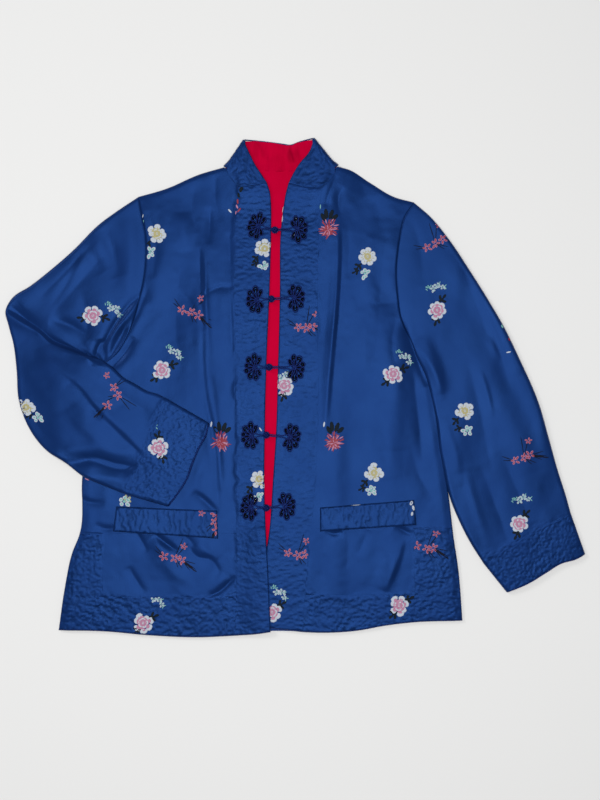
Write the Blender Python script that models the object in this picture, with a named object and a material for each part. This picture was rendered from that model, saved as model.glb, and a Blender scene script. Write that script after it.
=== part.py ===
"""A mandarin collar jacket of blue satin, laid flat on its back with one sleeve folded over the front.

Tables are in millimetres and every mesh is in metres. +X runs to the wearer's left, +Y up towards the
collar, and +Z up from the surface that the jacket lies on, which is at z = 0.
"right" and "left" are the wearer's own sides, so the right front lies at -X.
"""

import math

import bmesh
import bpy
import numpy as np

MM = 0.001

# The middle of the finished jacket on the tables' own page, which becomes the origin
CENTRE_X = -0.27
CENTRE_Y = -0.97

# Cloth walls and the gaps between them
SEAM_GAP = 0.44
ARMHOLE_GAP = 1.0
REST_GAP = 0.4
BACK_WALL = 1.8
LINING_WALL = 1.0
FRONT_WALL = 2.0
SLEEVE_WALL = 1.7
CUFF_WALL = 2.0
COLLAR_WALL = 1.8
WELT_WALL = 2.2
QUILT_RISE = 0.7

# Heights of the layers above the surface
BACK_LINING_FLOOR = 2.1
BACK_LINING_INSET = 24.0
LINING_NECK_GAP = 3.2
FRONT_FLOOR = 3.4
EDGE_DROOP = 1.2
EDGE_DROOP_WIDTH = 12.0
NECK_LIFT = 2.4
NECK_LIFT_WIDTH = 22.0
OVERLAP_LIFT = 3.2
OVERLAP_TOP_Y = -186.0
OVERLAP_RAMP = 20.0
OVERLAP_START_X = -62.0
OVERLAP_END_X = -47.0

# Lines across the fronts where the pocket panel and the hem band start
RIGHT_POCKET_Y = -206.5
RIGHT_HEM_BAND_Y = -294.7
RIGHT_SIDE_BAND_X = -271.0
LEFT_POCKET_Y = -199.5
LEFT_HEM_BAND_Y = -291.9
LEFT_SIDE_BAND_X = 166.0

# Edges and seams of the wearer's right half, each as (x, y) from the top down or from the middle out
RIGHT_NECK_EDGE = [(-73.5, 346), (-65, 328), (-57, 311.5), (-47, 296), (-40, 285)]
RIGHT_FRONT_EDGE = [
    (-40, 285), (-35.7, 272), (-34.3, 257), (-34.3, 212), (-36.5, 128), (-39.9, 51), (-43, -69),
    (-43.5, -139), (-41.3, -208), (-38.5, -257), (-35, -343),
]
RIGHT_NECK_SEAM = [(-100, 307), (-90, 292), (-80.5, 279)]
RIGHT_BAND_TOP = [(-80.5, 279), (-60, 281), (-40, 285)]
RIGHT_BAND_SEAM = [
    (-80.5, 279), (-84.7, 240), (-87.5, 205), (-85.5, 121), (-84.7, -19), (-83.3, -159),
    (-83.3, -295), (-84.7, -348.5),
]
RIGHT_SHOULDER = [(-100, 307), (-134, 297.5), (-183, 276.5), (-220, 266)]
RIGHT_OUTER_EDGE = [
    (-220, 266), (-215, 240), (-210, 215), (-209, 182), (-212, 152), (-220, 119), (-237, 68), (-253, 44),
    (-269, 31), (-280, 8), (-289, -54), (-299, -128), (-303, -208), (-313, -233), (-322.7, -278), (-332, -341),
]
RIGHT_BAND_HEM = [(-35, -343), (-59.5, -346.5), (-84.7, -348.5)]
RIGHT_HEM = [(-84.7, -348.5), (-134, -350.7), (-204, -348), (-267, -342.5), (-332, -341)]
RIGHT_ARMPIT_Y = 31.0

# The same lines of the wearer's left half
LEFT_NECK_EDGE = [(26.5, 348.5), (18.9, 328), (6.3, 313), (-2, 300), (-10, 284)]
LEFT_FRONT_EDGE = [
    (-10, 284), (-13.3, 272), (-16, 257), (-20.3, 222), (-22, 128), (-24.9, 17.5), (-27.3, -64),
    (-31.6, -129.5), (-36.7, -201), (-42, -240), (-42, -290), (-41, -338),
]
LEFT_NECK_SEAM = [(59, 308), (50, 291), (37, 278)]
LEFT_BAND_TOP = [(37, 278), (13, 279), (-10, 284)]
LEFT_BAND_SEAM = [
    (37, 278), (33, 240), (31.5, 191), (31.5, -19), (30, -89), (26, -159), (19, -222), (13.3, -292),
    (10.5, -343.5),
]
LEFT_SHOULDER = [(59, 308), (77, 303), (104, 286), (137, 266), (166, 258)]
LEFT_OUTER_EDGE = [
    (166, 258), (154, 240), (145, 204), (141, 165), (143.4, 125), (147, 100), (155, 79), (163, 64), (172, 43),
    (185, 17), (195, -22), (201, -64), (208, -110), (215, -155), (221, -206.5), (228.5, -258), (234, -327.5),
]
LEFT_BAND_HEM = [(-41, -338), (-12, -341), (10.5, -343.5)]
LEFT_HEM = [(10.5, -343.5), (34, -344.4), (90, -341), (122.5, -335), (163, -330), (234, -327.5)]
LEFT_ARMPIT_Y = 79.0

# The back's neck seam and the top edge of the collar behind it
BACK_NECK_SEAM = [(-100, 307), (-60, 303), (-18, 301.5), (20, 303), (59, 308)]
BACK_COLLAR_TOP = [(-73.5, 346), (-49.7, 343.7), (-16, 339.5), (-8.3, 338.3), (4.9, 342.7), (26.5, 348.5)]

# Sleeves as sections from the armhole to the cuff seam:
# outer end x, y, inner end x, y, and the height of the flattened sleeve there
RIGHT_SLEEVE = [
    (-220, 266, -269, 31, 5.4),
    (-248.5, 247, -272, 33.6, 6.8),
    (-275, 227.5, -274.4, 35.4, 7.4),
    (-311.5, 191, -276.6, 36.9, 7.4),
    (-343.7, 163, -279, 38.2, 7.2),
    (-371.7, 141, -281.4, 39.4, 7.2),
    (-397, 124, -283.6, 40.2, 8.4),
    (-406.5, 105.7, -285.5, 39.6, 8.8),
    (-402.5, 86, -284.6, 36.2, 6.8),
    (-395.5, 59.5, -281, 31.5, 7.0),
    (-391, 23, -273.7, 28, 7.4),
    (-388, -19, -265, 24.5, 7.6),
    (-371.7, -61, -254, 19.6, 7.4),
    (-349, -89, -240, 12, 7.2),
    (-321, -107, -224.7, 3.5, 7.0),
    (-294.7, -127, -208, -6.3, 6.8),
    (-267, -139, -194, -10.5, 6.6),
    (-234.5, -152, -178.5, -18, 6.4),
]
LEFT_SLEEVE = [
    (166, 258, 155, 79, 5.4),
    (188, 239, 164.4, 64.6, 6.8),
    (216, 205, 173.4, 43.6, 7.4),
    (244, 163, 186.3, 17.6, 7.4),
    (271, 120, 196.5, -22, 7.4),
    (292, 84, 201.3, -47, 7.4),
    (312, 43, 205.4, -83, 7.4),
    (339.5, -19, 210, -113, 7.2),
    (355.6, -74, 218.4, -157, 7.0),
    (367.5, -117, 231.7, -193, 6.8),
    (378.7, -152, 247, -222, 6.6),
    (385.7, -177, 264, -248.5, 6.4),
]
CUFF_HEIGHT = 6.4
RIGHT_CUFF_END = [
    (-178.5, -168), (-165, -150), (-152, -129), (-144, -107), (-135, -85.5), (-126, -69), (-121, -51),
]
LEFT_CUFF_END = [(406, -234.5), (392.7, -241.5), (372, -247.5), (351.5, -260), (327, -275), (296, -288.4)]
ARMHOLE_REACH = 0.3
RING_STEPS = 13
EDGE_REACHES = [0.0, 0.8, 3.0, 9.0]
EDGE_ROUNDING = 5.0
FOLD_RISE = 0.75
FRONT_END_INSET = 0.014
COLLAR_DEPTH = 42.0
COLLAR_FRONT_MIDDLE = 7.2
COLLAR_BACK_MIDDLE = 0.9
COLLAR_SEAM_GAP = 0.8
FIRST_LIFTED_SECTION = 7
LAST_LIFTED_SECTION = 9
SIDE_RAMP_START = 60.0
SIDE_RAMP_END = 20.0

# Welts as their four corners: top inner, top outer, bottom inner, bottom outer
RIGHT_WELT = [(-110, -174), (-251, -168), (-108.5, -213), (-255.5, -203)]
LEFT_WELT = [(34.3, -169.4), (166, -159), (34.3, -203), (169.4, -194)]

# Largest folds: start x, y, end x, y, half width, height
FRONT_FOLDS = [
    (-126, 184, -128, 60, 9, 3.0),
    (-128, 60, -112, -36, 9, 2.2),
    (-158, 234, -152, 196, 9, 2.0),
    (-182, 208, -190, 120, 16, 2.2),
    (-212, 120, -250, 62, 12, 2.6),
    (-122, -62, -108, -140, 9, 1.6),
    (58, 212, 50, 90, 9, 3.2),
    (50, 90, 36, -120, 10, 2.6),
    (50, 294, 44, 262, 7, 1.6),
    (112, 216, 104, 60, 18, 2.0),
    (140, 60, 148, -40, 16, 3.2),
    (120, -30, 132, -120, 14, 1.6),
    (-196, -216, -176, -236, 7, 1.4),
    (-136, -222, -112, -238, 7, 1.4),
    (-100, -268, -116, -286, 7, 1.2),
    (144, -215, 132, -262, 8, 1.8),
    (66, -214, 78, -250, 8, 1.4),
    (112, -212, 104, -240, 7, 1.2),
    (-290, -60, -296, -150, 12, 1.0),
]
SLEEVE_FOLDS = [
    (-246, 222, -352, 116, 14, 1.6),
    (-268, 186, -344, 96, 12, -1.4),
    (-296, 172, -388, 118, 11, 1.6),
    (-250, 150, -276, 66, 9, 2.4),
    (-330, 62, -380, 72, 10, -1.6),
    (-372, 40, -330, -20, 14, 1.6),
    (-330, 0, -216, -92, 15, 1.8),
    (-292, -96, -210, -140, 9, -1.6),
    (-240, -28, -200, -90, 12, 1.2),
    (196, 196, 320, 20, 14, 1.8),
    (226, 178, 296, 0, 11, -1.6),
    (186, 60, 218, -20, 11, 2.0),
    (222, -30, 232, -120, 12, 1.6),
    (252, 60, 330, -120, 16, 1.4),
    (286, -90, 330, -190, 11, -1.2),
]

# Frog fastenings: right rosette x, y, button x, y, left rosette x, y
FROGS = [
    (-55, 225, -29, 219, 5, 220.5),
    (-57, 121, -34, 122.5, 1, 124),
    (-59.5, 27, -37, 27, 1, 26),
    (-64, -69, -41, -68, -5, -71),
    (-65, -169, -41, -170, -12, -167),
]
CORD_RADIUS = 1.1
FROG_LOBES = 6
ROSETTE_RADIUS = 11.4
ROSETTE_WAVE = 2.6
STEM_HALF_GAP = 1.9
EYE_RADIUS = 5.9
BUTTON_RADIUS = 4.2
BUTTON_FLATNESS = 0.75
STEM_END_GAP = 10.3

BLUE = ("blue satin", "#23407F", 0.32)
QUILTED_BLUE = ("quilted blue satin", "#213A77", 0.38)
RED = ("red satin lining", "#C8123A", 0.4)
NAVY = ("navy cord", "#15173A", 0.45)


def linear_colour(code):
    """An sRGB hex code as the linear colour that a shader takes."""
    channels = [int(code[i:i + 2], 16) / 255 for i in (1, 3, 5)]
    return [c / 12.92 if c <= 0.04045 else ((c + 0.055) / 1.055) ** 2.4 for c in channels] + [1.0]


def cloth_material(finish, node_name):
    """Each piece has a material of its own, with its cloth's colour and gloss."""
    name, code, roughness = finish
    material = bpy.data.materials.new(f"{name} {node_name}")
    material.use_nodes = True
    shader = material.node_tree.nodes["Principled BSDF"]
    shader.inputs["Base Color"].default_value = linear_colour(code)
    shader.inputs["Roughness"].default_value = roughness
    shader.inputs["Metallic"].default_value = 0.0
    return material


def smooth_step(value):
    """0 below 0, 1 above 1, and a smooth ramp between."""
    t = min(1.0, max(0.0, value))
    return t * t * (3 - 2 * t)


class Edge:
    """A seam or an edge: a smooth line through its points, read by its share of length."""

    def __init__(self, points, smooth=True):
        points = np.array(points, float)
        if smooth and len(points) > 2:
            points = self.rounded(points)
        self.points = points
        steps = np.hypot(*np.diff(points, axis=0).T)
        self.shares = np.concatenate([[0.0], np.cumsum(steps)]) / steps.sum()

    @staticmethod
    def rounded(points, per_span=10):
        """The points of a smooth curve through the given ones."""
        spans = np.hypot(*np.diff(points, axis=0).T)
        slopes = np.zeros_like(points)
        chords = np.diff(points, axis=0) / spans[:, None]
        before, after = spans[:-1, None], spans[1:, None]
        slopes[1:-1] = (chords[:-1] * after + chords[1:] * before) / (before + after)
        slopes[0], slopes[-1] = chords[0], chords[-1]
        found = [points[:1]]
        t = np.linspace(0, 1, per_span + 1)[1:, None]
        for i, span in enumerate(spans):
            found.append(
                (2 * t**3 - 3 * t**2 + 1) * points[i]
                + (t**3 - 2 * t**2 + t) * span * slopes[i]
                + (3 * t**2 - 2 * t**3) * points[i + 1]
                + (t**3 - t**2) * span * slopes[i + 1]
            )
        return np.concatenate(found)

    def at(self, share):
        """The point at a share of the length, from 0 to 1."""
        return np.array([np.interp(share, self.shares, self.points[:, k]) for k in (0, 1)])

    def share_at_y(self, y):
        """The share of the length where a line that runs down reaches a height on the page."""
        return float(np.interp(-y, -self.points[:, 1], self.shares))

    def x_at_y(self, y):
        """The x of a line that runs down, at a height on the page."""
        return float(np.interp(-y, -self.points[:, 1], self.points[:, 0]))

    def cut(self, top_y, bottom_y):
        """The stretch of a line that runs down, between two heights on the page."""
        shares = np.linspace(self.share_at_y(top_y), self.share_at_y(bottom_y), 61)
        return Edge([self.at(s) for s in shares], smooth=False)

    def joined(self, other):
        """This line followed by another, with a corner where they meet."""
        return Edge(np.concatenate([self.points, other.points[1:]]), smooth=False)

    def reversed(self):
        return Edge(self.points[::-1], smooth=False)

    def distance(self, x, y):
        """The distance from a point to the line."""
        start, run = self.points[:-1], np.diff(self.points, axis=0)
        away = np.array([x, y]) - start
        share = np.clip((away * run).sum(1) / np.maximum((run * run).sum(1), 1e-12), 0, 1)
        return float(np.hypot(*(away - share[:, None] * run).T).min())

    def length(self):
        return float(np.hypot(*np.diff(self.points, axis=0).T).sum())


def patch(inner, outer, start, end):
    """A map from the unit square to the cloth between four edges.

    u goes from the inner edge to the outer one, and v from the start edge to the end one.
    """
    corners = [[inner.at(0), outer.at(0)], [inner.at(1), outer.at(1)]]

    def point(u, v):
        across = (1 - v) * start.at(u) + v * end.at(u)
        along = (1 - u) * inner.at(v) + u * outer.at(v)
        low = (1 - u) * corners[0][0] + u * corners[0][1]
        high = (1 - u) * corners[1][0] + u * corners[1][1]
        return across + along - (1 - v) * low - v * high

    return point


def inset(point, gap=SEAM_GAP / 2):
    """The same map, with every side drawn in by half a seam's gap."""

    def drawn_in(u, v):
        width = np.hypot(*(point(1, v) - point(0, v)))
        height = np.hypot(*(point(u, 1) - point(u, 0)))
        du, dv = gap / width, gap / height
        return point(du + u * (1 - 2 * du), dv + v * (1 - 2 * dv))

    return drawn_in


def steps_with(count, *fixed):
    """Even steps from 0 to 1, with the nearest ones moved to the shares of the corners."""
    steps = np.linspace(0, 1, count + 1)
    for share in fixed:
        steps[1 + np.abs(steps[1:-1] - share).argmin()] = share
    return steps


def armhole_rows(armhole_share, armhole_count, side_count, *fixed):
    """Steps down a side seam, closer together round the armhole than below it."""
    upper = np.linspace(0, armhole_share, armhole_count + 1)
    lower = np.linspace(armhole_share, 1, side_count + 1)
    steps = np.concatenate([upper, lower[1:]])
    for share in fixed:
        steps[1 + np.abs(steps[1:-1] - share).argmin()] = share
    return steps


def segment_fold(x, y, folds):
    """The height that the folds of a table add at a point."""
    total = 0.0
    for start_x, start_y, end_x, end_y, half_width, height in folds:
        run_x, run_y = end_x - start_x, end_y - start_y
        share = ((x - start_x) * run_x + (y - start_y) * run_y) / (run_x**2 + run_y**2)
        held = min(1.0, max(0.0, share))
        away = math.hypot(x - start_x - held * run_x, y - start_y - held * run_y)
        total += height * math.exp(-((away / half_width) ** 2))
    return total


def quilting(x, y):
    """The rise of the stitched puckers over the plain wall of a quilted piece."""
    wander = math.sin(0.21 * x + 1.7 * math.sin(0.13 * y)) * math.sin(0.34 * y + 1.3 * math.sin(0.17 * x))
    return QUILT_RISE * (0.5 + 0.5 * wander)


# The named lines, read once
right_front_edge = Edge(RIGHT_FRONT_EDGE)
right_band_seam = Edge(RIGHT_BAND_SEAM)
right_neck_seam = Edge(RIGHT_NECK_SEAM)
right_band_top = Edge(RIGHT_BAND_TOP)
right_outer_edge = Edge(RIGHT_OUTER_EDGE)
left_front_edge = Edge(LEFT_FRONT_EDGE)
left_band_seam = Edge(LEFT_BAND_SEAM)
left_neck_seam = Edge(LEFT_NECK_SEAM)
left_band_top = Edge(LEFT_BAND_TOP)
left_outer_edge = Edge(LEFT_OUTER_EDGE)
back_neck_seam = Edge(BACK_NECK_SEAM)
collar_seams = [right_neck_seam, right_band_top, left_neck_seam, left_band_top]


def front_floor(x, y):
    """The height of the underside of the fronts and all that is seamed to them."""
    to_neck = min(seam.distance(x, y) for seam in collar_seams)
    height = FRONT_FLOOR + NECK_LIFT * math.exp(-((to_neck / NECK_LIFT_WIDTH) ** 2))
    inside = min(x - right_outer_edge.x_at_y(y), left_outer_edge.x_at_y(y) - x)
    below_armpit = smooth_step((RIGHT_ARMPIT_Y - y) / 30)
    height -= EDGE_DROOP * below_armpit * (1 - smooth_step(inside / EDGE_DROOP_WIDTH))
    return height + max(0.0, segment_fold(x, y, FRONT_FOLDS))


def overlap_lift(x, y):
    """Where the right front laps over the left one, its edge is lifted by that layer."""
    over = smooth_step((x - OVERLAP_START_X) / (OVERLAP_END_X - OVERLAP_START_X))
    return OVERLAP_LIFT * over * smooth_step((OVERLAP_TOP_Y - y) / OVERLAP_RAMP)


def front_top(x, y):
    """The plain upper face of the fronts."""
    return front_floor(x, y) + FRONT_WALL


def grid_mesh(columns, rows):
    """A grid whose points know their place in the unit square."""
    mesh = bmesh.new()
    across = mesh.verts.layers.float.new("across")
    along = mesh.verts.layers.float.new("along")
    bmesh.ops.create_grid(mesh, x_segments=len(columns) - 1, y_segments=len(rows) - 1, size=1)
    for vert in mesh.verts:
        column = round((vert.co.x + 1) / 2 * (len(columns) - 1))
        row = round((vert.co.y + 1) / 2 * (len(rows) - 1))
        vert[across] = columns[column]
        vert[along] = rows[row]
    return mesh, across, along


def add_object(name, mesh, finish):
    """Closes a mesh into a named object with its own material."""
    bmesh.ops.recalc_face_normals(mesh, faces=mesh.faces)
    bmesh.ops.translate(mesh, vec=(-CENTRE_X * MM, -CENTRE_Y * MM, 0), verts=mesh.verts)
    data = bpy.data.meshes.new(name)
    mesh.to_mesh(data)
    mesh.free()
    data.shade_smooth()
    data.set_sharp_from_angle(angle=math.radians(50))
    data.materials.append(cloth_material(finish, name))
    obj = bpy.data.objects.new(name, data)
    bpy.context.scene.collection.objects.link(obj)
    return obj


def panel(name, point, columns, rows, floor, wall, finish, relief=None):
    """A cloth panel: a plain underside, and an upper face one wall above it with any relief."""
    mesh, across, along = grid_mesh(columns, rows)
    for vert in mesh.verts:
        x, y = point(vert[across], vert[along])
        vert.co = (x * MM, y * MM, floor(x, y) * MM)
    raised = bmesh.ops.extrude_face_region(mesh, geom=mesh.faces[:], use_keep_orig=True)
    for vert in [item for item in raised["geom"] if isinstance(item, bmesh.types.BMVert)]:
        x, y = vert.co.x / MM, vert.co.y / MM
        vert.co.z += (wall + (relief(x, y) if relief else 0.0)) * MM
    return add_object(name, mesh, finish)


def ring_place(step, width):
    """How far a step round the upper half of a flattened ring lies from its end, and how full it is there."""
    edge_steps = len(EDGE_REACHES)
    middle_steps = RING_STEPS - 2 * edge_steps + 2
    if step < edge_steps:
        reach = EDGE_REACHES[step]
    elif step > RING_STEPS - edge_steps:
        reach = width - EDGE_REACHES[RING_STEPS - step]
    else:
        share = (step - edge_steps + 1) / middle_steps
        reach = EDGE_REACHES[-1] + share * (width - 2 * EDGE_REACHES[-1])
    inside = min(1.0, min(reach, width - reach) / EDGE_ROUNDING)
    return reach, math.sqrt(1 - (1 - inside) ** 2)


def tube(name, point, rows, floor, height, wall, finish, relief=None):
    """A flattened tube of cloth, with a flat underside, round edges and an open inside."""
    sides = 2 * RING_STEPS
    mesh, across, along = grid_mesh(np.linspace(0, 1, sides + 1), rows)

    def place(vert, depth):
        turn, t = round(vert[across] * sides), vert[along]
        side = 1 if turn < RING_STEPS else -1
        width = np.hypot(*(point(1, t) - point(0, t)))
        reach, fullness = ring_place(min(turn, sides - turn), width)
        x, y = point(depth / width + reach / width * (1 - 2 * depth / width), t)
        rise = height(x, y, t)
        z = floor(x, y, t) + rise / 2 + side * (rise / 2 - depth) * fullness
        if relief and depth == 0 and side > 0:
            z += relief(x, y) * fullness
        vert.co = (x * MM, y * MM, z * MM)

    for vert in mesh.verts:
        place(vert, 0.0)
    bmesh.ops.remove_doubles(mesh, verts=mesh.verts, dist=0.00002)
    inner = bmesh.ops.extrude_face_region(mesh, geom=mesh.faces[:], use_keep_orig=True)
    for vert in [item for item in inner["geom"] if isinstance(item, bmesh.types.BMVert)]:
        place(vert, wall)
    return add_object(name, mesh, finish)


def make_back():
    """The back and its lining, one above the other on the surface."""
    top = Edge(RIGHT_SHOULDER).reversed().joined(back_neck_seam).joined(Edge(LEFT_SHOULDER))
    hem = Edge(RIGHT_HEM).reversed().joined(Edge([RIGHT_HEM[0], RIGHT_BAND_HEM[0], LEFT_HEM[0]]))
    hem = hem.joined(Edge(LEFT_HEM))
    shape = patch(right_outer_edge, left_outer_edge, top, hem)
    total = top.length()
    neck_start = Edge(RIGHT_SHOULDER).length() / total
    neck_end = neck_start + back_neck_seam.length() / total
    columns = steps_with(11, neck_start, neck_end)
    rows = armhole_rows(right_outer_edge.share_at_y(RIGHT_ARMPIT_Y), 10, 4)
    panel("back", inset(shape, 0.5), columns, rows, lambda x, y: 0.0, BACK_WALL, BLUE)
    lining = inset(shape, BACK_LINING_INSET)

    def lining_point(u, v):
        x, y = lining(u, v)
        at_neck = smooth_step((x + 96) / 14) * smooth_step((55 - x) / 14)
        return x, y + (BACK_LINING_INSET - LINING_NECK_GAP) * (1 - v) * at_neck

    panel("back_lining", lining_point, steps_with(10, neck_start, neck_end), np.linspace(0, 1, 12),
          lambda x, y: BACK_LINING_FLOOR, LINING_WALL, RED)


def make_front(side, neck_seam, band_seam, outer_edge, shoulder, armpit_y, pocket_y, hem_band_y, side_band_x, hem):
    """One front with its pocket panel, quilted vent band and quilted hem band."""
    inner = neck_seam.joined(band_seam.cut(band_seam.points[0][1], pocket_y))
    outer = outer_edge.cut(outer_edge.points[0][1], pocket_y)
    bottom = Edge([inner.at(1), outer.at(1)])
    corner = neck_seam.length() / inner.length()
    shape = inset(patch(inner, outer, shoulder, bottom))
    rows = armhole_rows(outer.share_at_y(armpit_y), 14, 8, corner)
    panel(f"front_{side}", shape, np.linspace(0, 1, 13), rows, front_floor, FRONT_WALL, BLUE)

    split_top = np.array([side_band_x, pocket_y])
    split_bottom = np.array([side_band_x, hem_band_y])
    split = Edge([split_top, split_bottom])
    seam = band_seam.cut(pocket_y, hem_band_y)
    shape = inset(patch(seam, split, Edge([seam.at(0), split_top]), Edge([seam.at(1), split_bottom])))
    panel(f"pocket_{side}", shape, np.linspace(0, 1, 12), np.linspace(0, 1, 6), front_floor, FRONT_WALL, BLUE)

    vent = outer_edge.cut(pocket_y, hem_band_y)
    shape = inset(patch(split, vent, Edge([split_top, vent.at(0)]), Edge([split_bottom, vent.at(1)])))
    panel(f"side_band_{side}", shape, np.linspace(0, 1, 5), np.linspace(0, 1, 9), front_floor, FRONT_WALL,
          QUILTED_BLUE, quilting)

    inner = band_seam.cut(hem_band_y, band_seam.points[-1][1])
    outer = outer_edge.cut(hem_band_y, outer_edge.points[-1][1])
    shape = inset(patch(inner, outer, Edge([inner.at(0), outer.at(0)]), hem))
    panel(f"hem_band_{side}", shape, np.linspace(0, 1, 23), np.linspace(0, 1, 5), front_floor, FRONT_WALL,
          QUILTED_BLUE, quilting)


def make_band(side, front_edge, band_seam, band_top, band_hem, lift):
    """The quilted band down a front edge, from the collar to the hem."""
    shape = inset(patch(band_seam, front_edge, band_top, band_hem.reversed()))
    panel(f"band_{side}", shape, np.linspace(0, 1, 6), np.linspace(0, 1, 49),
          lambda x, y: front_floor(x, y) + lift(x, y), FRONT_WALL, QUILTED_BLUE, quilting)


def sleeve_plan(table, armhole):
    """The plan of a sleeve: its table's sections, with the first ones bent to the armhole."""
    rows = np.array(table, float)
    middle = (rows[:, 0:2] + rows[:, 2:4]) / 2
    travel = np.hypot(*np.diff(rows[:, 0:2], axis=0).T) + np.hypot(*np.diff(middle, axis=0).T)
    shares = np.concatenate([[0.0], np.cumsum(travel)]) / travel.sum()
    columns = [Edge(np.column_stack([shares * 1000, rows[:, k]])) for k in range(5)]

    def read(k, t):
        line = columns[k].points
        return float(np.interp(t * 1000, line[:, 0], line[:, 1]))

    def point(s, t):
        outer = np.array([read(0, t), read(1, t)])
        inner = np.array([read(2, t), read(3, t)])
        bend = max(0.0, 1 - t / ARMHOLE_REACH) ** 2
        straight = (1 - s) * rows[0, 0:2] + s * rows[0, 2:4]
        return (1 - s) * outer + s * inner + bend * (armhole.at(s) - straight)

    return point, lambda t: read(4, t), shares


def seam_inset_along(point, start_gap, end_gap):
    """A tube's plan, drawn in along its length by a seam's gap at each end."""

    def drawn_in(s, t):
        length = sum(
            np.hypot(*(point(s, (k + 1) / 8) - point(s, k / 8))) for k in range(8)
        )
        return point(s, start_gap / length + t * (1 - (start_gap + end_gap) / length))

    return drawn_in


def on_right_front(x, y):
    """The height of what carries the folded sleeve: the surface, or the front that it lies on."""
    inside = x - right_outer_edge.x_at_y(y)
    share = smooth_step((inside + SIDE_RAMP_START) / (SIDE_RAMP_START - SIDE_RAMP_END))
    held_x = max(x, right_outer_edge.x_at_y(y) + 1)
    return share * (front_top(held_x, y) + REST_GAP)


def make_sleeves():
    """Both sleeves as flattened tubes, and their quilted cuffs."""
    armhole = right_outer_edge.cut(RIGHT_OUTER_EDGE[0][1], RIGHT_ARMPIT_Y)
    plan, rise, shares = sleeve_plan(RIGHT_SLEEVE, armhole)
    first, last = shares[FIRST_LIFTED_SECTION], shares[LAST_LIFTED_SECTION]

    def right_floor(x, y, t):
        return smooth_step((t - first) / (last - first)) * on_right_front(x, y)

    def right_height(x, y, t):
        ends = smooth_step(t / 0.06) * smooth_step((1 - t) / 0.06)
        return rise(t) + segment_fold(x, y, SLEEVE_FOLDS) * ends

    plan = seam_inset_along(plan, ARMHOLE_GAP, SEAM_GAP / 2)
    tube("sleeve_right", plan, np.linspace(0, 1, 21), right_floor, right_height, SLEEVE_WALL, BLUE)

    armhole = left_outer_edge.cut(LEFT_OUTER_EDGE[0][1], LEFT_ARMPIT_Y)
    plan, left_rise, shares = sleeve_plan(LEFT_SLEEVE, armhole)

    def left_height(x, y, t):
        ends = smooth_step(t / 0.06) * smooth_step((1 - t) / 0.06)
        return left_rise(t) + segment_fold(x, y, SLEEVE_FOLDS) * ends

    plan = seam_inset_along(plan, ARMHOLE_GAP, SEAM_GAP / 2)
    tube("sleeve_left", plan, np.linspace(0, 1, 18), lambda x, y, t: 0.0, left_height, SLEEVE_WALL, BLUE)

    for side, table, end, floor in (
        ("right", RIGHT_SLEEVE, Edge(RIGHT_CUFF_END), lambda x, y, t: on_right_front(x, y)),
        ("left", LEFT_SLEEVE, Edge(LEFT_CUFF_END), lambda x, y, t: 0.0),
    ):
        outer, inner = table[-1][0:2], table[-1][2:4]
        shape = patch(Edge([outer, end.at(0)]), Edge([inner, end.at(1)]), Edge([outer, inner]), end)
        plan = seam_inset_along(shape, SEAM_GAP / 2, 0.0)
        tube(f"cuff_{side}", plan, np.linspace(0, 1, 6), floor, lambda x, y, t: CUFF_HEIGHT, CUFF_WALL,
             QUILTED_BLUE, quilting)


def collar_strip(front_height, back_height):
    """The collar's middle surface, folded flat at both sides of the neck.

    u goes from the right front end round the back to the left front end, and v from the neck
    seam to the top edge.
    """
    radius = (front_height - back_height) / 2
    middle = (front_height + back_height) / 2
    drawn = (COLLAR_FRONT_MIDDLE - COLLAR_BACK_MIDDLE + COLLAR_WALL) / 2

    def side_parts(neck_seam, neck_edge, sign):
        fold_low, fold_high = neck_seam.at(0), neck_edge.at(0)
        run = (fold_high - fold_low) / np.hypot(*(fold_high - fold_low))
        outward = np.array([-run[1], run[0]]) * sign
        fold = Edge([fold_low + drawn * (FOLD_RISE * run - outward), fold_high - drawn * outward])
        bottom = Edge([neck_seam.at(1), neck_seam.at(0.6), neck_seam.at(0.25), fold.at(0)])
        top = Edge(np.concatenate([neck_edge.points[::-1][:-4], [fold.at(1)]]), smooth=False)
        return patch(bottom, top, Edge([bottom.at(0), top.at(0)]), fold), fold, outward

    right_part, right_fold, right_out = side_parts(right_neck_seam, Edge(RIGHT_NECK_EDGE), 1)
    left_part, left_fold, left_out = side_parts(left_neck_seam, Edge(LEFT_NECK_EDGE), -1)
    seam_middle = [p for p in BACK_NECK_SEAM[1:-1]]
    back_bottom = Edge([right_fold.at(0), *seam_middle, left_fold.at(0)])
    back_top = Edge([right_fold.at(1), *BACK_COLLAR_TOP[1:-1], left_fold.at(1)])
    back_part = patch(right_fold, left_fold, back_bottom, back_top)

    def spot(stage, share, v):
        if stage == "right front":
            x, y = right_part(v, FRONT_END_INSET + share * (1 - FRONT_END_INSET))
            return x, y, front_height
        if stage == "left front":
            x, y = left_part(v, 1 - share * (1 - FRONT_END_INSET))
            return x, y, front_height
        if stage == "back":
            x, y = back_part(share, v)
            return x, y, back_height
        fold, out = (right_fold, right_out) if stage == "right fold" else (left_fold, left_out)
        turn = math.pi * (0.5 - share) if stage == "right fold" else math.pi * (share - 0.5)
        x, y = fold.at(v) + out * radius * math.cos(turn)
        return x, y, middle + radius * math.sin(turn)

    def point(u, v):
        stages = ["right front", "right fold", "back", "left fold", "left front"]
        index = min(4, int(u * 5))
        v = (COLLAR_SEAM_GAP + v * (COLLAR_DEPTH - COLLAR_SEAM_GAP)) / COLLAR_DEPTH
        return spot(stages[index], u * 5 - index, v)

    return point


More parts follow.
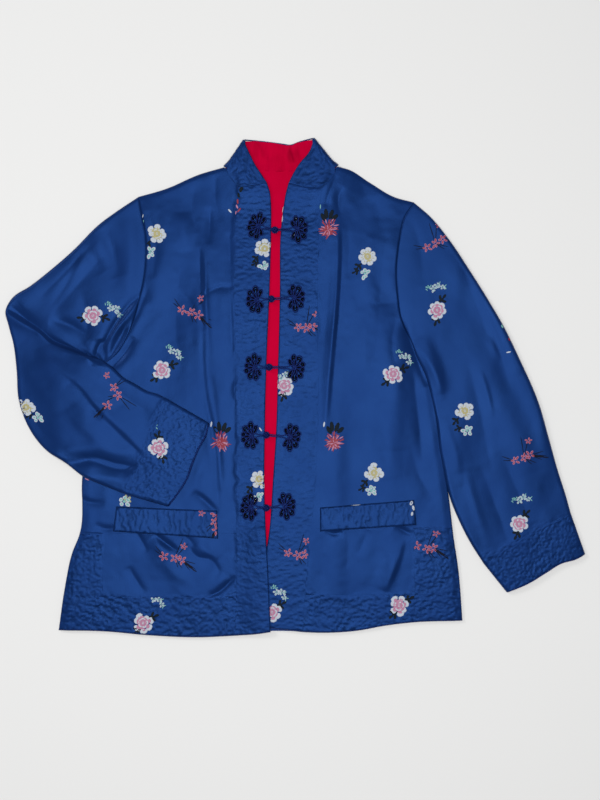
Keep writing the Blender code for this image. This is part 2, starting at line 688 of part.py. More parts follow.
def make_collar():
    """The stand collar and its red lining, each one strip that is folded flat at its sides."""
    stops = [(0.0, 6), (1.0, 4), (2.0, 8), (3.0, 4), (4.0, 6)]
    columns = np.array([(start + k / count) / 5 for start, count in stops for k in range(count)] + [1.0])
    for name, front_height, back_height, wall, finish, rise in (
        ("collar", COLLAR_FRONT_MIDDLE, COLLAR_BACK_MIDDLE, COLLAR_WALL, QUILTED_BLUE, 0.5),
        ("collar_lining", 5.4, 2.6, LINING_WALL, RED, 0.0),
    ):
        point = collar_strip(front_height, back_height)
        mesh, across, along = grid_mesh(columns, np.linspace(0, 1, 5))
        normal = mesh.verts.layers.float_vector.new("normal")
        for vert in mesh.verts:
            vert.co = [value * MM for value in point(vert[across], vert[along])]
        mesh.normal_update()
        outward = 1 if sum(f.normal.z for f in mesh.faces if f.calc_center_median().z > 0.004) > 0 else -1
        for vert in mesh.verts:
            vert[normal] = vert.normal * outward
        outer = bmesh.ops.extrude_face_region(mesh, geom=mesh.faces[:], use_keep_orig=True)
        raised = {item for item in outer["geom"] if isinstance(item, bmesh.types.BMVert)}
        for vert in mesh.verts:
            on_top = vert.co.z > 0.004
            relief = rise * quilting(vert.co.x / MM, vert.co.y / MM) if on_top and vert in raised else 0.0
            reach = wall / 2 + relief if vert in raised else -wall / 2
            vert.co = vert.co + vert[normal] * reach * MM
        add_object(name, mesh, finish)


def make_welts():
    """The quilted pocket welts, which lie on the fronts over the pocket seams."""
    for side, corners in (("right", RIGHT_WELT), ("left", LEFT_WELT)):
        top_inner, top_outer, bottom_inner, bottom_outer = corners
        shape = patch(Edge([top_inner, bottom_inner]), Edge([top_outer, bottom_outer]),
                      Edge([top_inner, top_outer]), Edge([bottom_inner, bottom_outer]))
        panel(f"welt_{side}", shape, np.linspace(0, 1, 13), np.linspace(0, 1, 5),
              lambda x, y: front_top(x, y) + REST_GAP, WELT_WALL, QUILTED_BLUE, quilting)


def frog_path(reach, has_eye):
    """A frog's closed cord: a lobed rosette round the start, and a stem that runs to the button.

    The button lies at (reach, 0). A half with an eye closes round it.
    """
    count = 4 * FROG_LOBES
    outline = []
    for k in range(1, count):
        angle = 2 * math.pi * k / count
        radius = ROSETTE_RADIUS - ROSETTE_WAVE * math.cos(FROG_LOBES * angle)
        outline.append((radius * math.cos(angle), radius * math.sin(angle)))
    neck = ROSETTE_RADIUS - ROSETTE_WAVE
    if has_eye:
        end = [
            (reach + EYE_RADIUS * math.cos(angle), EYE_RADIUS * math.sin(angle))
            for angle in np.radians([140, 100, 60, 20, -20, -60, -100, -140])
        ]
    else:
        end = [
            (reach - STEM_END_GAP + STEM_HALF_GAP * math.cos(angle), STEM_HALF_GAP * math.sin(angle))
            for angle in np.radians([75, 25, -25, -75])
        ]
    stem_out = [(neck, -STEM_HALF_GAP)]
    stem_back = [(neck, STEM_HALF_GAP)]
    return stem_back + outline + stem_out + [(x, -y) for x, y in end]


def make_frogs():
    """Five frog fastenings: a looped cord half on each front, and a ball button between them."""
    level = FRONT_FLOOR + FRONT_WALL + QUILT_RISE + REST_GAP + CORD_RADIUS
    for number, (right_x, right_y, button_x, button_y, left_x, left_y) in enumerate(FROGS, start=1):
        for side, x, y, has_eye in (("right", right_x, right_y, False), ("left", left_x, left_y, True)):
            reach = math.hypot(button_x - x, button_y - y)
            aim_x, aim_y = (button_x - x) / reach, (button_y - y) / reach
            path = frog_path(reach, has_eye)
            name = f"frog_{side}_{number}"
            curve = bpy.data.curves.new(name, "CURVE")
            curve.dimensions = "3D"
            curve.bevel_depth = CORD_RADIUS * MM
            curve.bevel_resolution = 0
            curve.materials.append(cloth_material(NAVY, name))
            spline = curve.splines.new("POLY")
            spline.points.add(len(path) - 1)
            spline.use_cyclic_u = True
            for target, (along, aside) in zip(spline.points, path):
                px = x + along * aim_x - aside * aim_y
                py = y + along * aim_y + aside * aim_x
                lift = max(0.0, overlap_lift(px, py))
                target.co = ((px - CENTRE_X) * MM, (py - CENTRE_Y) * MM, (level + lift) * MM, 1.0)
            obj = bpy.data.objects.new(name, curve)
            bpy.context.scene.collection.objects.link(obj)
        mesh = bmesh.new()
        bmesh.ops.create_uvsphere(mesh, u_segments=10, v_segments=6, radius=BUTTON_RADIUS * MM)
        bmesh.ops.scale(mesh, vec=(1, 1, BUTTON_FLATNESS), verts=mesh.verts)
        height = level - CORD_RADIUS + BUTTON_RADIUS * BUTTON_FLATNESS
        bmesh.ops.translate(mesh, vec=(button_x * MM, button_y * MM, height * MM), verts=mesh.verts)
        add_object(f"button_{number}", mesh, NAVY)


def main():
    for obj in list(bpy.data.objects):
        bpy.data.objects.remove(obj)
    make_back()
    make_front("right", right_neck_seam, right_band_seam, right_outer_edge, Edge(RIGHT_SHOULDER),
               RIGHT_ARMPIT_Y, RIGHT_POCKET_Y, RIGHT_HEM_BAND_Y, RIGHT_SIDE_BAND_X, Edge(RIGHT_HEM))
    make_front("left", left_neck_seam, left_band_seam, left_outer_edge, Edge(LEFT_SHOULDER),
               LEFT_ARMPIT_Y, LEFT_POCKET_Y, LEFT_HEM_BAND_Y, LEFT_SIDE_BAND_X, Edge(LEFT_HEM))
    make_band("right", right_front_edge, right_band_seam, right_band_top, Edge(RIGHT_BAND_HEM),
              overlap_lift)
    make_band("left", left_front_edge, left_band_seam, left_band_top, Edge(LEFT_BAND_HEM),
              lambda x, y: 0.0)
    make_sleeves()
    make_collar()
    make_welts()
    make_frogs()


main()
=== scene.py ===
# %% [markdown]
# # A mandarin collar jacket, laid flat
# A blue satin jacket lies on its back, with one sleeve folded over its front. Plain solids already give
# its size and its layers. This lesson dresses them: each cut piece of cloth becomes a thin sheet with
# its own creases, and the frogs become real cords. Lengths in the tables are in millimetres on the
# jacket's own page, and the meshes are in metres. "right" and "left" are the wearer's own sides, so the
# right front lies at -X.

# %% Load the plain solids
import math

import bmesh
import bpy
import numpy as np
from mathutils.bvhtree import BVHTree
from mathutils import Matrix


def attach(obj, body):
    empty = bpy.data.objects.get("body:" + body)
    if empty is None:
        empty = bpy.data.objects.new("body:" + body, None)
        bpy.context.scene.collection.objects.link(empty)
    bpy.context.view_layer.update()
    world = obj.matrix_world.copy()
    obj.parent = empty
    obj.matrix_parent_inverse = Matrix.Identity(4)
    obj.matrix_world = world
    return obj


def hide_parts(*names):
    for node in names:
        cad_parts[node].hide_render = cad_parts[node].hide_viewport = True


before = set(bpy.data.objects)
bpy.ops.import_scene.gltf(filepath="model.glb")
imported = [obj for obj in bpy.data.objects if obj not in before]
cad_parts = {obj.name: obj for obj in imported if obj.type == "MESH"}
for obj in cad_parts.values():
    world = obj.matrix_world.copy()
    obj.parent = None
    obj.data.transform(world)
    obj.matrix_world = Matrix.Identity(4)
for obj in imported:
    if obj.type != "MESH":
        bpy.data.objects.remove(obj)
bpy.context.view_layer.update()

MM = 0.001
PAGE_SHIFT = (0.27, 0.97)
print("plain solids:", len(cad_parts))

# %% [markdown]
# ## Camera
# The jacket was seen from straight above. One pixel of the picture covers 1.4 mm of cloth, so the
# height of the camera follows from its lens. A fairly long lens keeps the upper layers from growing.

# %% Camera
PICTURE_HEIGHT = 800
PIXEL = 1.4
LENS, SENSOR = 60.0, 36.0
CAMERA_AIM = (6.57, -17.93)
CLOTH_LEVEL = 6.0

camera_data = bpy.data.cameras.new("camera")
camera_data.lens = LENS
camera_data.sensor_width = SENSOR
camera = bpy.data.objects.new("camera", camera_data)
bpy.context.scene.collection.objects.link(camera)
camera_height = PICTURE_HEIGHT * PIXEL * LENS / SENSOR + CLOTH_LEVEL
camera.location = (CAMERA_AIM[0] * MM, CAMERA_AIM[1] * MM, camera_height * MM)
bpy.context.scene.camera = camera
print("camera height:", round(camera_height), "mm")

# %% [markdown]
# ## Edges and seams
# A cutter's pattern is a set of lines, so the pieces start from the same lines as the solids. Each line
# is a few points with a smooth curve through them. A curve could also be a Blender curve object, but a
# small class that answers "where am I at this share of the length" is easier to build cloth on.

# %% The pattern's lines
RIGHT_NECK_EDGE = [(-73.5, 346), (-65, 328), (-57, 311.5), (-47, 296), (-40, 285)]
RIGHT_FRONT_EDGE = [
    (-40, 285), (-35.7, 272), (-34.3, 257), (-34.3, 212), (-36.5, 128), (-39.9, 51), (-43, -69),
    (-43.5, -139), (-41.3, -208), (-38.5, -257), (-35, -343),
]
RIGHT_NECK_SEAM = [(-100, 307), (-90, 292), (-80.5, 279)]
RIGHT_BAND_TOP = [(-80.5, 279), (-60, 281), (-40, 285)]
RIGHT_BAND_SEAM = [
    (-80.5, 279), (-84.7, 240), (-87.5, 205), (-85.5, 121), (-84.7, -19), (-83.3, -159),
    (-83.3, -295), (-84.7, -348.5),
]
RIGHT_SHOULDER = [(-100, 307), (-134, 297.5), (-183, 276.5), (-220, 266)]
RIGHT_OUTER_EDGE = [
    (-220, 266), (-215, 240), (-210, 215), (-209, 182), (-212, 152), (-220, 119), (-237, 68),
    (-253, 44), (-269, 31), (-280, 8), (-289, -54), (-299, -128), (-303, -208), (-313, -233),
    (-322.7, -278), (-332, -341),
]
RIGHT_BAND_HEM = [(-35, -343), (-59.5, -346.5), (-84.7, -348.5)]
RIGHT_HEM = [(-84.7, -348.5), (-134, -350.7), (-204, -348), (-267, -342.5), (-332, -341)]
RIGHT_ARMPIT_Y = 31.0
LEFT_NECK_EDGE = [(26.5, 348.5), (18.9, 328), (6.3, 313), (-2, 300), (-10, 284)]
LEFT_FRONT_EDGE = [
    (-10, 284), (-13.3, 272), (-16, 257), (-20.3, 222), (-22, 128), (-24.9, 17.5), (-27.3, -64),
    (-31.6, -129.5), (-36.7, -201), (-42, -240), (-42, -290), (-41, -338),
]
LEFT_NECK_SEAM = [(59, 308), (50, 291), (37, 278)]
LEFT_BAND_TOP = [(37, 278), (13, 279), (-10, 284)]
LEFT_BAND_SEAM = [
    (37, 278), (33, 240), (31.5, 191), (31.5, -19), (30, -89), (26, -159), (19, -222), (13.3, -292),
    (10.5, -343.5),
]
LEFT_SHOULDER = [(59, 308), (77, 303), (104, 286), (137, 266), (166, 258)]
LEFT_OUTER_EDGE = [
    (166, 258), (154, 240), (145, 204), (141, 165), (143.4, 125), (147, 100), (155, 79), (163, 64), (172, 43),
    (185, 17), (195, -22), (201, -64), (208, -110), (215, -155), (221, -206.5), (228.5, -258), (234, -327.5),
]
LEFT_BAND_HEM = [(-41, -338), (-12, -341), (10.5, -343.5)]
LEFT_HEM = [(10.5, -343.5), (34, -344.4), (90, -341), (122.5, -335), (163, -330), (234, -327.5)]
LEFT_ARMPIT_Y = 79.0
BACK_NECK_SEAM = [(-100, 307), (-60, 303), (-18, 301.5), (20, 303), (59, 308)]
BACK_COLLAR_TOP = [(-73.5, 346), (-49.7, 343.7), (-16, 339.5), (-8.3, 338.3), (4.9, 342.7), (26.5, 348.5)]


class Edge:
    """A seam or an edge: a smooth line through its points, read by its share of length."""

    def __init__(self, points, smooth=True):
        points = np.array(points, float)
        if smooth and len(points) > 2:
            points = self.rounded(points)
        self.points = points
        steps = np.hypot(*np.diff(points, axis=0).T)
        self.shares = np.concatenate([[0.0], np.cumsum(steps)]) / steps.sum()
        self.length = steps.sum()

    @staticmethod
    def rounded(points, per_span=10):
        """The points of a smooth curve through the given ones."""
        spans = np.hypot(*np.diff(points, axis=0).T)
        slopes = np.zeros_like(points)
        chords = np.diff(points, axis=0) / spans[:, None]
        before, after = spans[:-1, None], spans[1:, None]
        slopes[1:-1] = (chords[:-1] * after + chords[1:] * before) / (before + after)
        slopes[0], slopes[-1] = chords[0], chords[-1]
        found = [points[:1]]
        t = np.linspace(0, 1, per_span + 1)[1:, None]
        for i, span in enumerate(spans):
            found.append(
                (2 * t**3 - 3 * t**2 + 1) * points[i]
                + (t**3 - 2 * t**2 + t) * span * slopes[i]
                + (3 * t**2 - 2 * t**3) * points[i + 1]
                + (t**3 - t**2) * span * slopes[i + 1]
            )
        return np.concatenate(found)

    def at(self, share):
        """The points at one or many shares of the length, from 0 to 1."""
        return np.stack([np.interp(share, self.shares, self.points[:, k]) for k in (0, 1)], axis=-1)

    def share_at_y(self, y):
        return float(np.interp(-y, -self.points[:, 1], self.shares))

    def x_at_y(self, y):
        return np.interp(-y, -self.points[:, 1], self.points[:, 0])

    def cut(self, top_y, bottom_y):
        """The stretch of a line that runs down, between two heights on the page."""
        shares = np.linspace(self.share_at_y(top_y), self.share_at_y(bottom_y), 61)
        return Edge(self.at(shares), smooth=False)

    def joined(self, other):
        return Edge(np.concatenate([self.points, other.points[1:]]), smooth=False)

    def reversed(self):
        return Edge(self.points[::-1], smooth=False)

    def nearest(self, x, y):
        """How far each point lies from the line, to its left as a plus, and where along it."""
        best = np.full(np.shape(x), 1e6)
        share = np.zeros(np.shape(x))
        for i, (start, end) in enumerate(zip(self.points[:-1], self.points[1:])):
            run = end - start
            long = max(run @ run, 1e-12)
            held = np.clip(((x - start[0]) * run[0] + (y - start[1]) * run[1]) / long, 0, 1)
            off_x, off_y = x - start[0] - held * run[0], y - start[1] - held * run[1]
            away = np.hypot(off_x, off_y)
            closer = away < np.abs(best)
            side = np.where(run[0] * off_y - run[1] * off_x >= 0, 1.0, -1.0)
            best = np.where(closer, away * side, best)
            step = self.shares[i + 1] - self.shares[i]
            share = np.where(closer, self.shares[i] + held * step, share)
        return best, share


right_front_edge, left_front_edge = Edge(RIGHT_FRONT_EDGE), Edge(LEFT_FRONT_EDGE)
right_band_seam, left_band_seam = Edge(RIGHT_BAND_SEAM), Edge(LEFT_BAND_SEAM)
right_neck_seam, left_neck_seam = Edge(RIGHT_NECK_SEAM), Edge(LEFT_NECK_SEAM)
right_band_top, left_band_top = Edge(RIGHT_BAND_TOP), Edge(LEFT_BAND_TOP)
right_outer_edge, left_outer_edge = Edge(RIGHT_OUTER_EDGE), Edge(LEFT_OUTER_EDGE)
back_neck_seam = Edge(BACK_NECK_SEAM)
print("length of the right front edge:", round(right_front_edge.length), "mm")

# %% [markdown]
# ## How high the cloth lies
# The layers lie on each other: back, back lining, fronts, and the folded sleeve on top. The fronts rise
# at the collar, droop a little at their sides, and carry the jacket's large folds. A fold is a ridge
# along a curved line. Simulated cloth would put its folds where it likes, so these are placed one by one.

# %% Heights of the layers
FRONT_FLOOR = 3.4
FRONT_WALL = 2.0
BACK_WALL = 1.8
REST_GAP = 0.4
QUILT_RISE = 0.7
QUILT_RELIEF = 0.4
EDGE_DROOP = 1.2
EDGE_DROOP_WIDTH = 12.0
NECK_LIFT = 2.4
NECK_LIFT_WIDTH = 22.0
OVERLAP_LIFT = 3.2
OVERLAP_TOP_Y = -186.0
OVERLAP_RAMP = 20.0
OVERLAP_START_X, OVERLAP_END_X = -83.0, -44.0

# Large folds of the fronts: points, width to the left, width to the right, height
FRONT_FOLDS = [
    ([(-131, 236), (-130, 180), (-131, 70), (-122, -36), (-112, -120)], 12, 10, 1.8),
    ([(-158, 244), (-154, 190)], 10, 12, 1.4),
    ([(-186, 216), (-196, 110)], 18, 16, 1.8),
    ([(-210, 124), (-232, 84), (-252, 54)], 12, 12, 2.2),
    ([(-122, -50), (-106, -146)], 10, 10, 1.4),
    ([(58, 236), (57, 174), (53, 100), (46, 20), (38, -60), (32, -140)], 9, 12, 2.0),
    ([(50, 298), (44, 258)], 8, 9, 1.4),
    ([(114, 236), (104, 110), (100, 20)], 22, 18, 1.6),
    ([(126, 116), (137, 30), (142, -90)], 18, 26, 3.4),
    ([(118, -20), (134, -130)], 16, 14, 1.2),
    ([(-200, -212), (-174, -240)], 8, 8, 1.2),
    ([(-140, -218), (-110, -244)], 8, 8, 1.2),
    ([(-98, -264), (-118, -290)], 8, 8, 1.0),
    ([(140, -236), (126, -286)], 8, 10, 1.2),
    ([(-288, -50), (-297, -160)], 14, 14, 1.0),
]


def smooth_step(value):
    """0 below 0, 1 above 1, and a smooth ramp between."""
    t = np.clip(value, 0, 1)
    return t * t * (3 - 2 * t)


# A valley is pointed (2 would be as round as a ridge), and deeper than its table says
SHARPNESS = 1.3
VALLEY_DEPTH = 1.35


def creases(x, y, table):
    """The height that a table of curved folds or creases adds: round ridges and sharp valleys."""
    total = np.zeros(np.shape(x))
    for points, left_width, right_width, height in table:
        away, share = Edge(points).nearest(x, y)
        width = np.where(away > 0, left_width, right_width)
        fade = np.sin(math.pi * np.clip(share, 0.0, 1.0)) ** 0.7
        profile = np.exp(-(np.abs(away / width) ** (2.0 if height > 0 else SHARPNESS)))
        total += (height if height > 0 else VALLEY_DEPTH * height) * fade * profile
    return total


def neck_distance(x, y):
    """How far a point lies from the collar's seam."""
    seams = [right_neck_seam, right_band_top, left_neck_seam, left_band_top]
    return np.min([np.abs(seam.nearest(x, y)[0]) for seam in seams], axis=0)


def front_top(x, y):
    """The upper face of the fronts, without its fine creases."""
    height = FRONT_FLOOR + FRONT_WALL + NECK_LIFT * np.exp(-((neck_distance(x, y) / NECK_LIFT_WIDTH) ** 2))
    inside = np.minimum(x - right_outer_edge.x_at_y(y), left_outer_edge.x_at_y(y) - x)
    below_armpit = smooth_step((RIGHT_ARMPIT_Y - y) / 30)
    height -= EDGE_DROOP * below_armpit * (1 - smooth_step(inside / EDGE_DROOP_WIDTH))
    return height + np.maximum(0.0, creases(x, y, FRONT_FOLDS))


def overlap_lift(x, y):
    """Near the hem the right front laps over the left one, which lifts its edge."""
    over = smooth_step((x - OVERLAP_START_X) / (OVERLAP_END_X - OVERLAP_START_X))
    return OVERLAP_LIFT * over * smooth_step((OVERLAP_TOP_Y - y) / OVERLAP_RAMP)


# %% [markdown]
# ## Creases, crumple and quilting
# Satin shows every small dent, because its smooth face mirrors the light. Three layers of relief give
# that. Creases are curved lines, sharper on one side than on the other, as pressed cloth is. Crumple is
# smooth noise from a fixed grid of values, so that it comes out the same each time. Quilting is padded
# cloth that short, close stitches pull down: another noise, longer one way than the other, places them.

# %% Relief of the cloth
# Quilting: length of the stitches across and along the page, and how deep they pull
BAND_QUILT = (6.4, 2.7, 0.65)
HEM_QUILT = (4.2, 3.2, 0.85)
CUFF_QUILT = (2.6, 2.3, 0.8)
WELT_QUILT = (2.7, 8.0, 1.1)
# Creases of the fronts: points, width to the left, width to the right, height
FRONT_CREASES = [
    ([(-133.7, 196), (-132, 130), (-128, 78)], 2.6, 7, -1.5),
    ([(-131, 100), (-124, -20), (-116, -60), (-107, -176)], 2.6, 8, -1.5),
    ([(-126.5, 190), (-125, 120), (-120, 40)], 3, 3, 0.7),
    ([(-118, 20), (-109, -60), (-103, -150)], 3, 5, 0.7),
    ([(-119.5, 250), (-121, 200)], 5, 8, -1.2),
    ([(-93, 216), (-91, 160)], 4, 7, -0.8),
    ([(-136, 118), (-122, 133), (-106, 140), (-88, 141), (-78, 146)], 2.2, 5, -0.8),
    ([(-92, 140), (-90, 96), (-88, 40)], 3, 6, -0.8),
    ([(-164.5, 135), (-150, 122), (-134, 96)], 3, 6, -0.7),
    ([(-160, 180), (-168, 90), (-160, 10)], 11, 18, -0.8),
    ([(-205, 246), (-196, 190), (-200, 150)], 7, 12, -0.8),
    ([(-206, 140), (-226, 92), (-256, 44)], 5, 11, -1.4),
    ([(-226, 70), (-240, 46), (-262, 22)], 5, 10, -2.2),
    ([(-143, -146), (-128, -158), (-108, -177)], 2.2, 8, -2.0),
    ([(-126, -98), (-138, -128), (-140, -160)], 6, 8, 0.8),
    ([(-306, -154), (-288, -162), (-268, -164)], 3, 5, -1.2),
    ([(-282, -192), (-266, -199), (-250, -198)], 3, 5, -1.2),
    ([(-190, 100), (-222, 50), (-258, 10)], 10, 14, 0.8),
    ([(-140, 286), (-146, 250), (-138, 216)], 8, 14, -0.8),
    ([(-112, 296), (-112, 258), (-104, 232)], 6, 9, -0.8),
    ([(64.5, 222), (64, 174), (61, 118), (56, 60), (51, 6), (48, -40)], 6, 2.4, -1.4),
    ([(60, 220), (59.5, 170), (56.5, 118), (51, 60), (46, 0), (40, -70)], 3, 2.4, 0.9),
    ([(49, 208), (45, 110), (38, 20), (34, -100), (22, -190)], 7, 6, -0.4),
    ([(58, 296), (47, 270), (42, 250)], 3.5, 6, -1.2),
    ([(66, 280), (60, 262), (62, 240)], 4, 6, -0.9),
    ([(76, 216), (74, 150)], 8, 11, -0.8),
    ([(128, 226), (118, 130), (112, 30)], 14, 18, -0.7),
    ([(149, 94), (160, 66), (172, 34), (184, 0)], 9, 8, -2.6),
    ([(164, 30), (172, -40), (178, -110)], 12, 9, -1.8),
    ([(142, 96), (136, 70), (138, 30)], 6, 8, -0.9),
    ([(160, -80), (176, -130), (196, -160)], 9, 12, -0.9),
    ([(90, -60), (96, -110), (92, -150)], 14, 16, 0.6),
    ([(110, 268), (118, 236), (110, 208)], 10, 14, -0.7),
]
# Short puckers of the pocket panels, below the welts
POCKET_CREASES = [
    ([(-224, -202), (-216, -216), (-207, -232)], 3.5, 5, -1.2),
    ([(-200, -204), (-180, -220), (-164, -231)], 3, 8, -2.6),
    ([(-152, -220), (-136, -238), (-120, -241), (-104, -263)], 3, 8, -1.4),
    ([(-84, -266), (-102, -284), (-122, -296)], 2.4, 4.5, -1.5),
    ([(-234, -252), (-220, -276), (-210, -290)], 4, 6, -1.1),
    ([(-162, -206), (-148, -216), (-140, -226)], 3.5, 4, -0.9),
    ([(-190, -240), (-168, -262), (-140, -276)], 12, 8, 0.6),
    ([(151, -214), (145, -238), (137, -260), (124, -288)], 3.2, 14, 1.6),
    ([(140, -196), (152, -202), (164, -208)], 4, 5, -1.4),
    ([(42, -202), (54, -206), (66, -203)], 3, 4, -1.2),
    ([(100, -200), (96, -216), (88, -236)], 6, 8, -0.6),
    ([(70, -200), (74, -224), (70, -262)], 8, 10, -0.5),
]


def lattice(column, row, seed):
    """A fixed random value from -1 to 1 for each crossing of a grid."""
    mixed = (column * 374761393 + row * 668265263 + seed * 974711) % 4294967296
    mixed = (mixed ^ (mixed >> 13)) * 1274126177 % 4294967296
    return (mixed ^ (mixed >> 16)) % 65536 / 32768 - 1


def crumple(x, y, size, seed):
    """Smooth random waves from -1 to 1, each about one size across."""
    column, row = np.floor(x / size).astype(np.int64), np.floor(y / size).astype(np.int64)
    s, t = smooth_step(x / size - column), smooth_step(y / size - row)
    low = lattice(column, row, seed) * (1 - s) + lattice(column + 1, row, seed) * s
    high = lattice(column, row + 1, seed) * (1 - s) + lattice(column + 1, row + 1, seed) * s
    return low * (1 - t) + high * t


def quilting(x, y, size):
    """The padded cloth between its stitches: 0 where a stitch pulls it down and 1 on the padding.

    size gives how long the stitches are across and along the page, in mm.
    """
    bent_x = (x + 2.0 * crumple(x, y, 9.0, 11)) / size[0]
    bent_y = (y + 2.0 * crumple(x, y, 9.0, 12)) / size[1]
    dashes = crumple(bent_x, bent_y, 1.0, 13) + 0.35 * crumple(bent_x, bent_y, 0.47, 14)
    return smooth_step((dashes + 0.55) / 0.7)


def soft_crumple(x, y):
    """The slow waves of laid satin, longer down the cloth than across it."""
    slow = 1.25 * crumple(x, y * 0.45, 46.0, 21) + 0.55 * crumple(x, y * 0.5, 19.0, 22)
    return slow + 0.1 * crumple(x, y, 8.0, 23)


sample_x, sample_y = np.meshgrid(np.linspace(0, 40, 81), np.linspace(0, 40, 81))
print("mean height of the quilting:", round(float(quilting(sample_x, sample_y, HEM_QUILT).mean()), 2))

# %% [markdown]
# ## Satin, lining and cord
# Satin lets its smooth threads float over several others, so its face gleams and its gloss is drawn out
# across the threads. The shader's anisotropy does that, along each piece's own UV map. The threads
# are about 0.2 mm apart, too fine to show here, so the streaks below are drawn about 0.8 mm apart. The
# quilted pieces take the same satin, and a painted_shade value stored on each point paints shade into
# the rows of stitches, which lie in the shade of the padding beside them. The same value paints shade
# into the lining's wrinkles, along its neck seam, and in a band where the fronts nearly meet.

# %% Materials
THREAD_STREAK = 0.8 * MM
STREAK_LENGTH = 14.0 * MM
COLOUR_PATCH = 55.0 * MM
SATIN_GRAIN = 2.2 * MM
CORD_GRAIN, FLOSS_GRAIN = 0.7 * MM, 0.9 * MM


def linear_colour(code):
    """An sRGB hex code as the linear colour that a shader takes."""
    channels = [int(code[i:i + 2], 16) / 255 for i in (1, 3, 5)]
    return [c / 12.92 if c <= 0.04045 else ((c + 0.055) / 1.055) ** 2.4 for c in channels] + [1.0]


def add_node(tree, kind, settings=None, inputs=None):
    """Adds a node with its settings, and with a value or a link for each named input."""
    made = tree.nodes.new(kind)
    for field, value in (settings or {}).items():
        setattr(made, field, value)
    for socket, value in (inputs or {}).items():
        if isinstance(value, bpy.types.NodeSocket):
            tree.links.new(value, made.inputs[socket])
        else:
            made.inputs[socket].default_value = value
    return made


def new_shader(name):
    """A new material, with its node tree and its shader."""
    material = bpy.data.materials.new(name)
    material.use_nodes = True
    return material, material.node_tree, material.node_tree.nodes["Principled BSDF"]


def noise(tree, place, grain, **inputs):
    """Noise whose grains are about as large as grain."""
    inputs = {"Vector": place, "Scale": 1 / grain, "Detail": 2.0, **inputs}
    return add_node(tree, "ShaderNodeTexNoise", None, inputs).outputs["Fac"]


def mix(tree, share, low, high, blend="MIX"):
    settings = {"data_type": "RGBA", "blend_type": blend}
    return add_node(tree, "ShaderNodeMix", settings, {0: share, 6: low, 7: high}).outputs[2]


def ramp(tree, value, start, end, low=0.0, high=1.0):
    """A value mapped so that start becomes low and end becomes high."""
    inputs = {"Value": value, "From Min": start, "From Max": end, "To Min": low, "To Max": high}
    return add_node(tree, "ShaderNodeMapRange", None, inputs).outputs["Result"]


def times_plus(tree, value, factor, other):
    inputs = {0: value, 1: factor, 2: other}
    return add_node(tree, "ShaderNodeMath", {"operation": "MULTIPLY_ADD"}, inputs).outputs[0]


def bump(tree, shader, height, strength, depth):
    """Relief too fine for the mesh."""
    inputs = {"Height": height, "Strength": strength, "Distance": depth}
    made = add_node(tree, "ShaderNodeBump", None, inputs)
    tree.links.new(made.outputs["Normal"], shader.inputs["Normal"])


def set_gloss(shader, gloss, gleam):
    shader.inputs["Specular IOR Level"].default_value = gloss
    shader.inputs["Specular Tint"].default_value = linear_colour(gleam)


def satin(name, dark, light, gleam, roughness, anisotropy):
    """Woven satin: streaks along the threads, slow changes of colour, and a drawn-out gloss."""
    material, tree, shader = new_shader(name)
    weave = add_node(tree, "ShaderNodeUVMap", {"uv_map": "weave"}).outputs["UV"]
    place = add_node(tree, "ShaderNodeTexCoord").outputs["Object"]
    stretched = add_node(tree, "ShaderNodeMapping", None, {
        "Vector": weave, "Scale": (1 / THREAD_STREAK, 1 / STREAK_LENGTH, 1.0)}).outputs["Vector"]
    streaks = add_node(tree, "ShaderNodeTexNoise", {"noise_dimensions": "2D"}, {
        "Vector": stretched, "Scale": 1.0, "Detail": 3.0, "Roughness": 0.6}).outputs["Fac"]
    patches = noise(tree, place, COLOUR_PATCH)
    share = ramp(tree, times_plus(tree, streaks, 0.45, patches), 0.45, 1.0)
    colour = mix(tree, share, linear_colour(dark), linear_colour(light))
    # Painted shade: the painted_shade value darkens the base colour in stitch rows and other shaded places
    rise = add_node(tree, "ShaderNodeAttribute", {"attribute_name": "painted_shade"}).outputs["Fac"]
    shaded = mix(tree, 1.0, colour, ramp(tree, rise, 0.0, 0.8, 0.62, 1.0), "MULTIPLY")
    tree.links.new(shaded, shader.inputs["Base Color"])
    uneven = ramp(tree, patches, 0.3, 0.7, roughness - 0.04, roughness + 0.05)
    tree.links.new(uneven, shader.inputs["Roughness"])
    grain = noise(tree, place, SATIN_GRAIN)
    bump(tree, shader, times_plus(tree, streaks, 0.6, grain), 0.14, 0.5 * MM)
    tangent = add_node(tree, "ShaderNodeTangent", {"direction_type": "UV_MAP", "uv_map": "weave"})
    tree.links.new(tangent.outputs["Tangent"], shader.inputs["Tangent"])
    shader.inputs["Anisotropic"].default_value = anisotropy
    set_gloss(shader, 0.55, gleam)
    return material


def yarn(name, code, roughness, gloss, grain, gleam="#FFFFFF"):
    """Thread or cord: one dyed colour, with a fine grain that breaks up its gloss."""
    material, tree, shader = new_shader(name)
    place = add_node(tree, "ShaderNodeTexCoord").outputs["Object"]
    threads = noise(tree, place, grain, Distortion=0.6)
    dyed = linear_colour(code)[:3]
    shaded, lit = ([min(1.0, channel * factor) for channel in dyed] + [1.0] for factor in (0.6, 1.25))
    tree.links.new(mix(tree, threads, shaded, lit), shader.inputs["Base Color"])
    bump(tree, shader, threads, 0.4, 0.3 * MM)
    shader.inputs["Roughness"].default_value = roughness
    set_gloss(shader, gloss, gleam)
    return material


# Woven satin of smooth filament: deep royal blue. The light passes through the dyed threads, so its
# gloss is blue too
blue_satin = satin("woven blue satin", "#0A2049", "#10295A", "#4076D4", 0.33, 0.45)
# Crimson lining satin: brighter, and softer in its gloss
red_satin = satin("crimson lining satin", "#A00026", "#B60030", "#E01038", 0.42, 0.3)
# Bias satin rolled over a cord: dark navy, with a bluish glint
navy_cord = yarn("navy satin piping", "#0E1748", 0.34, 0.7, CORD_GRAIN, "#5078E0")
# Near-black piping coiled inside the frogs' petals: darker cord, and painted shade between the loops
dark_cord_and_shadow = yarn("dark navy piping and painted shadow", "#030308", 0.6, 0.05, CORD_GRAIN)
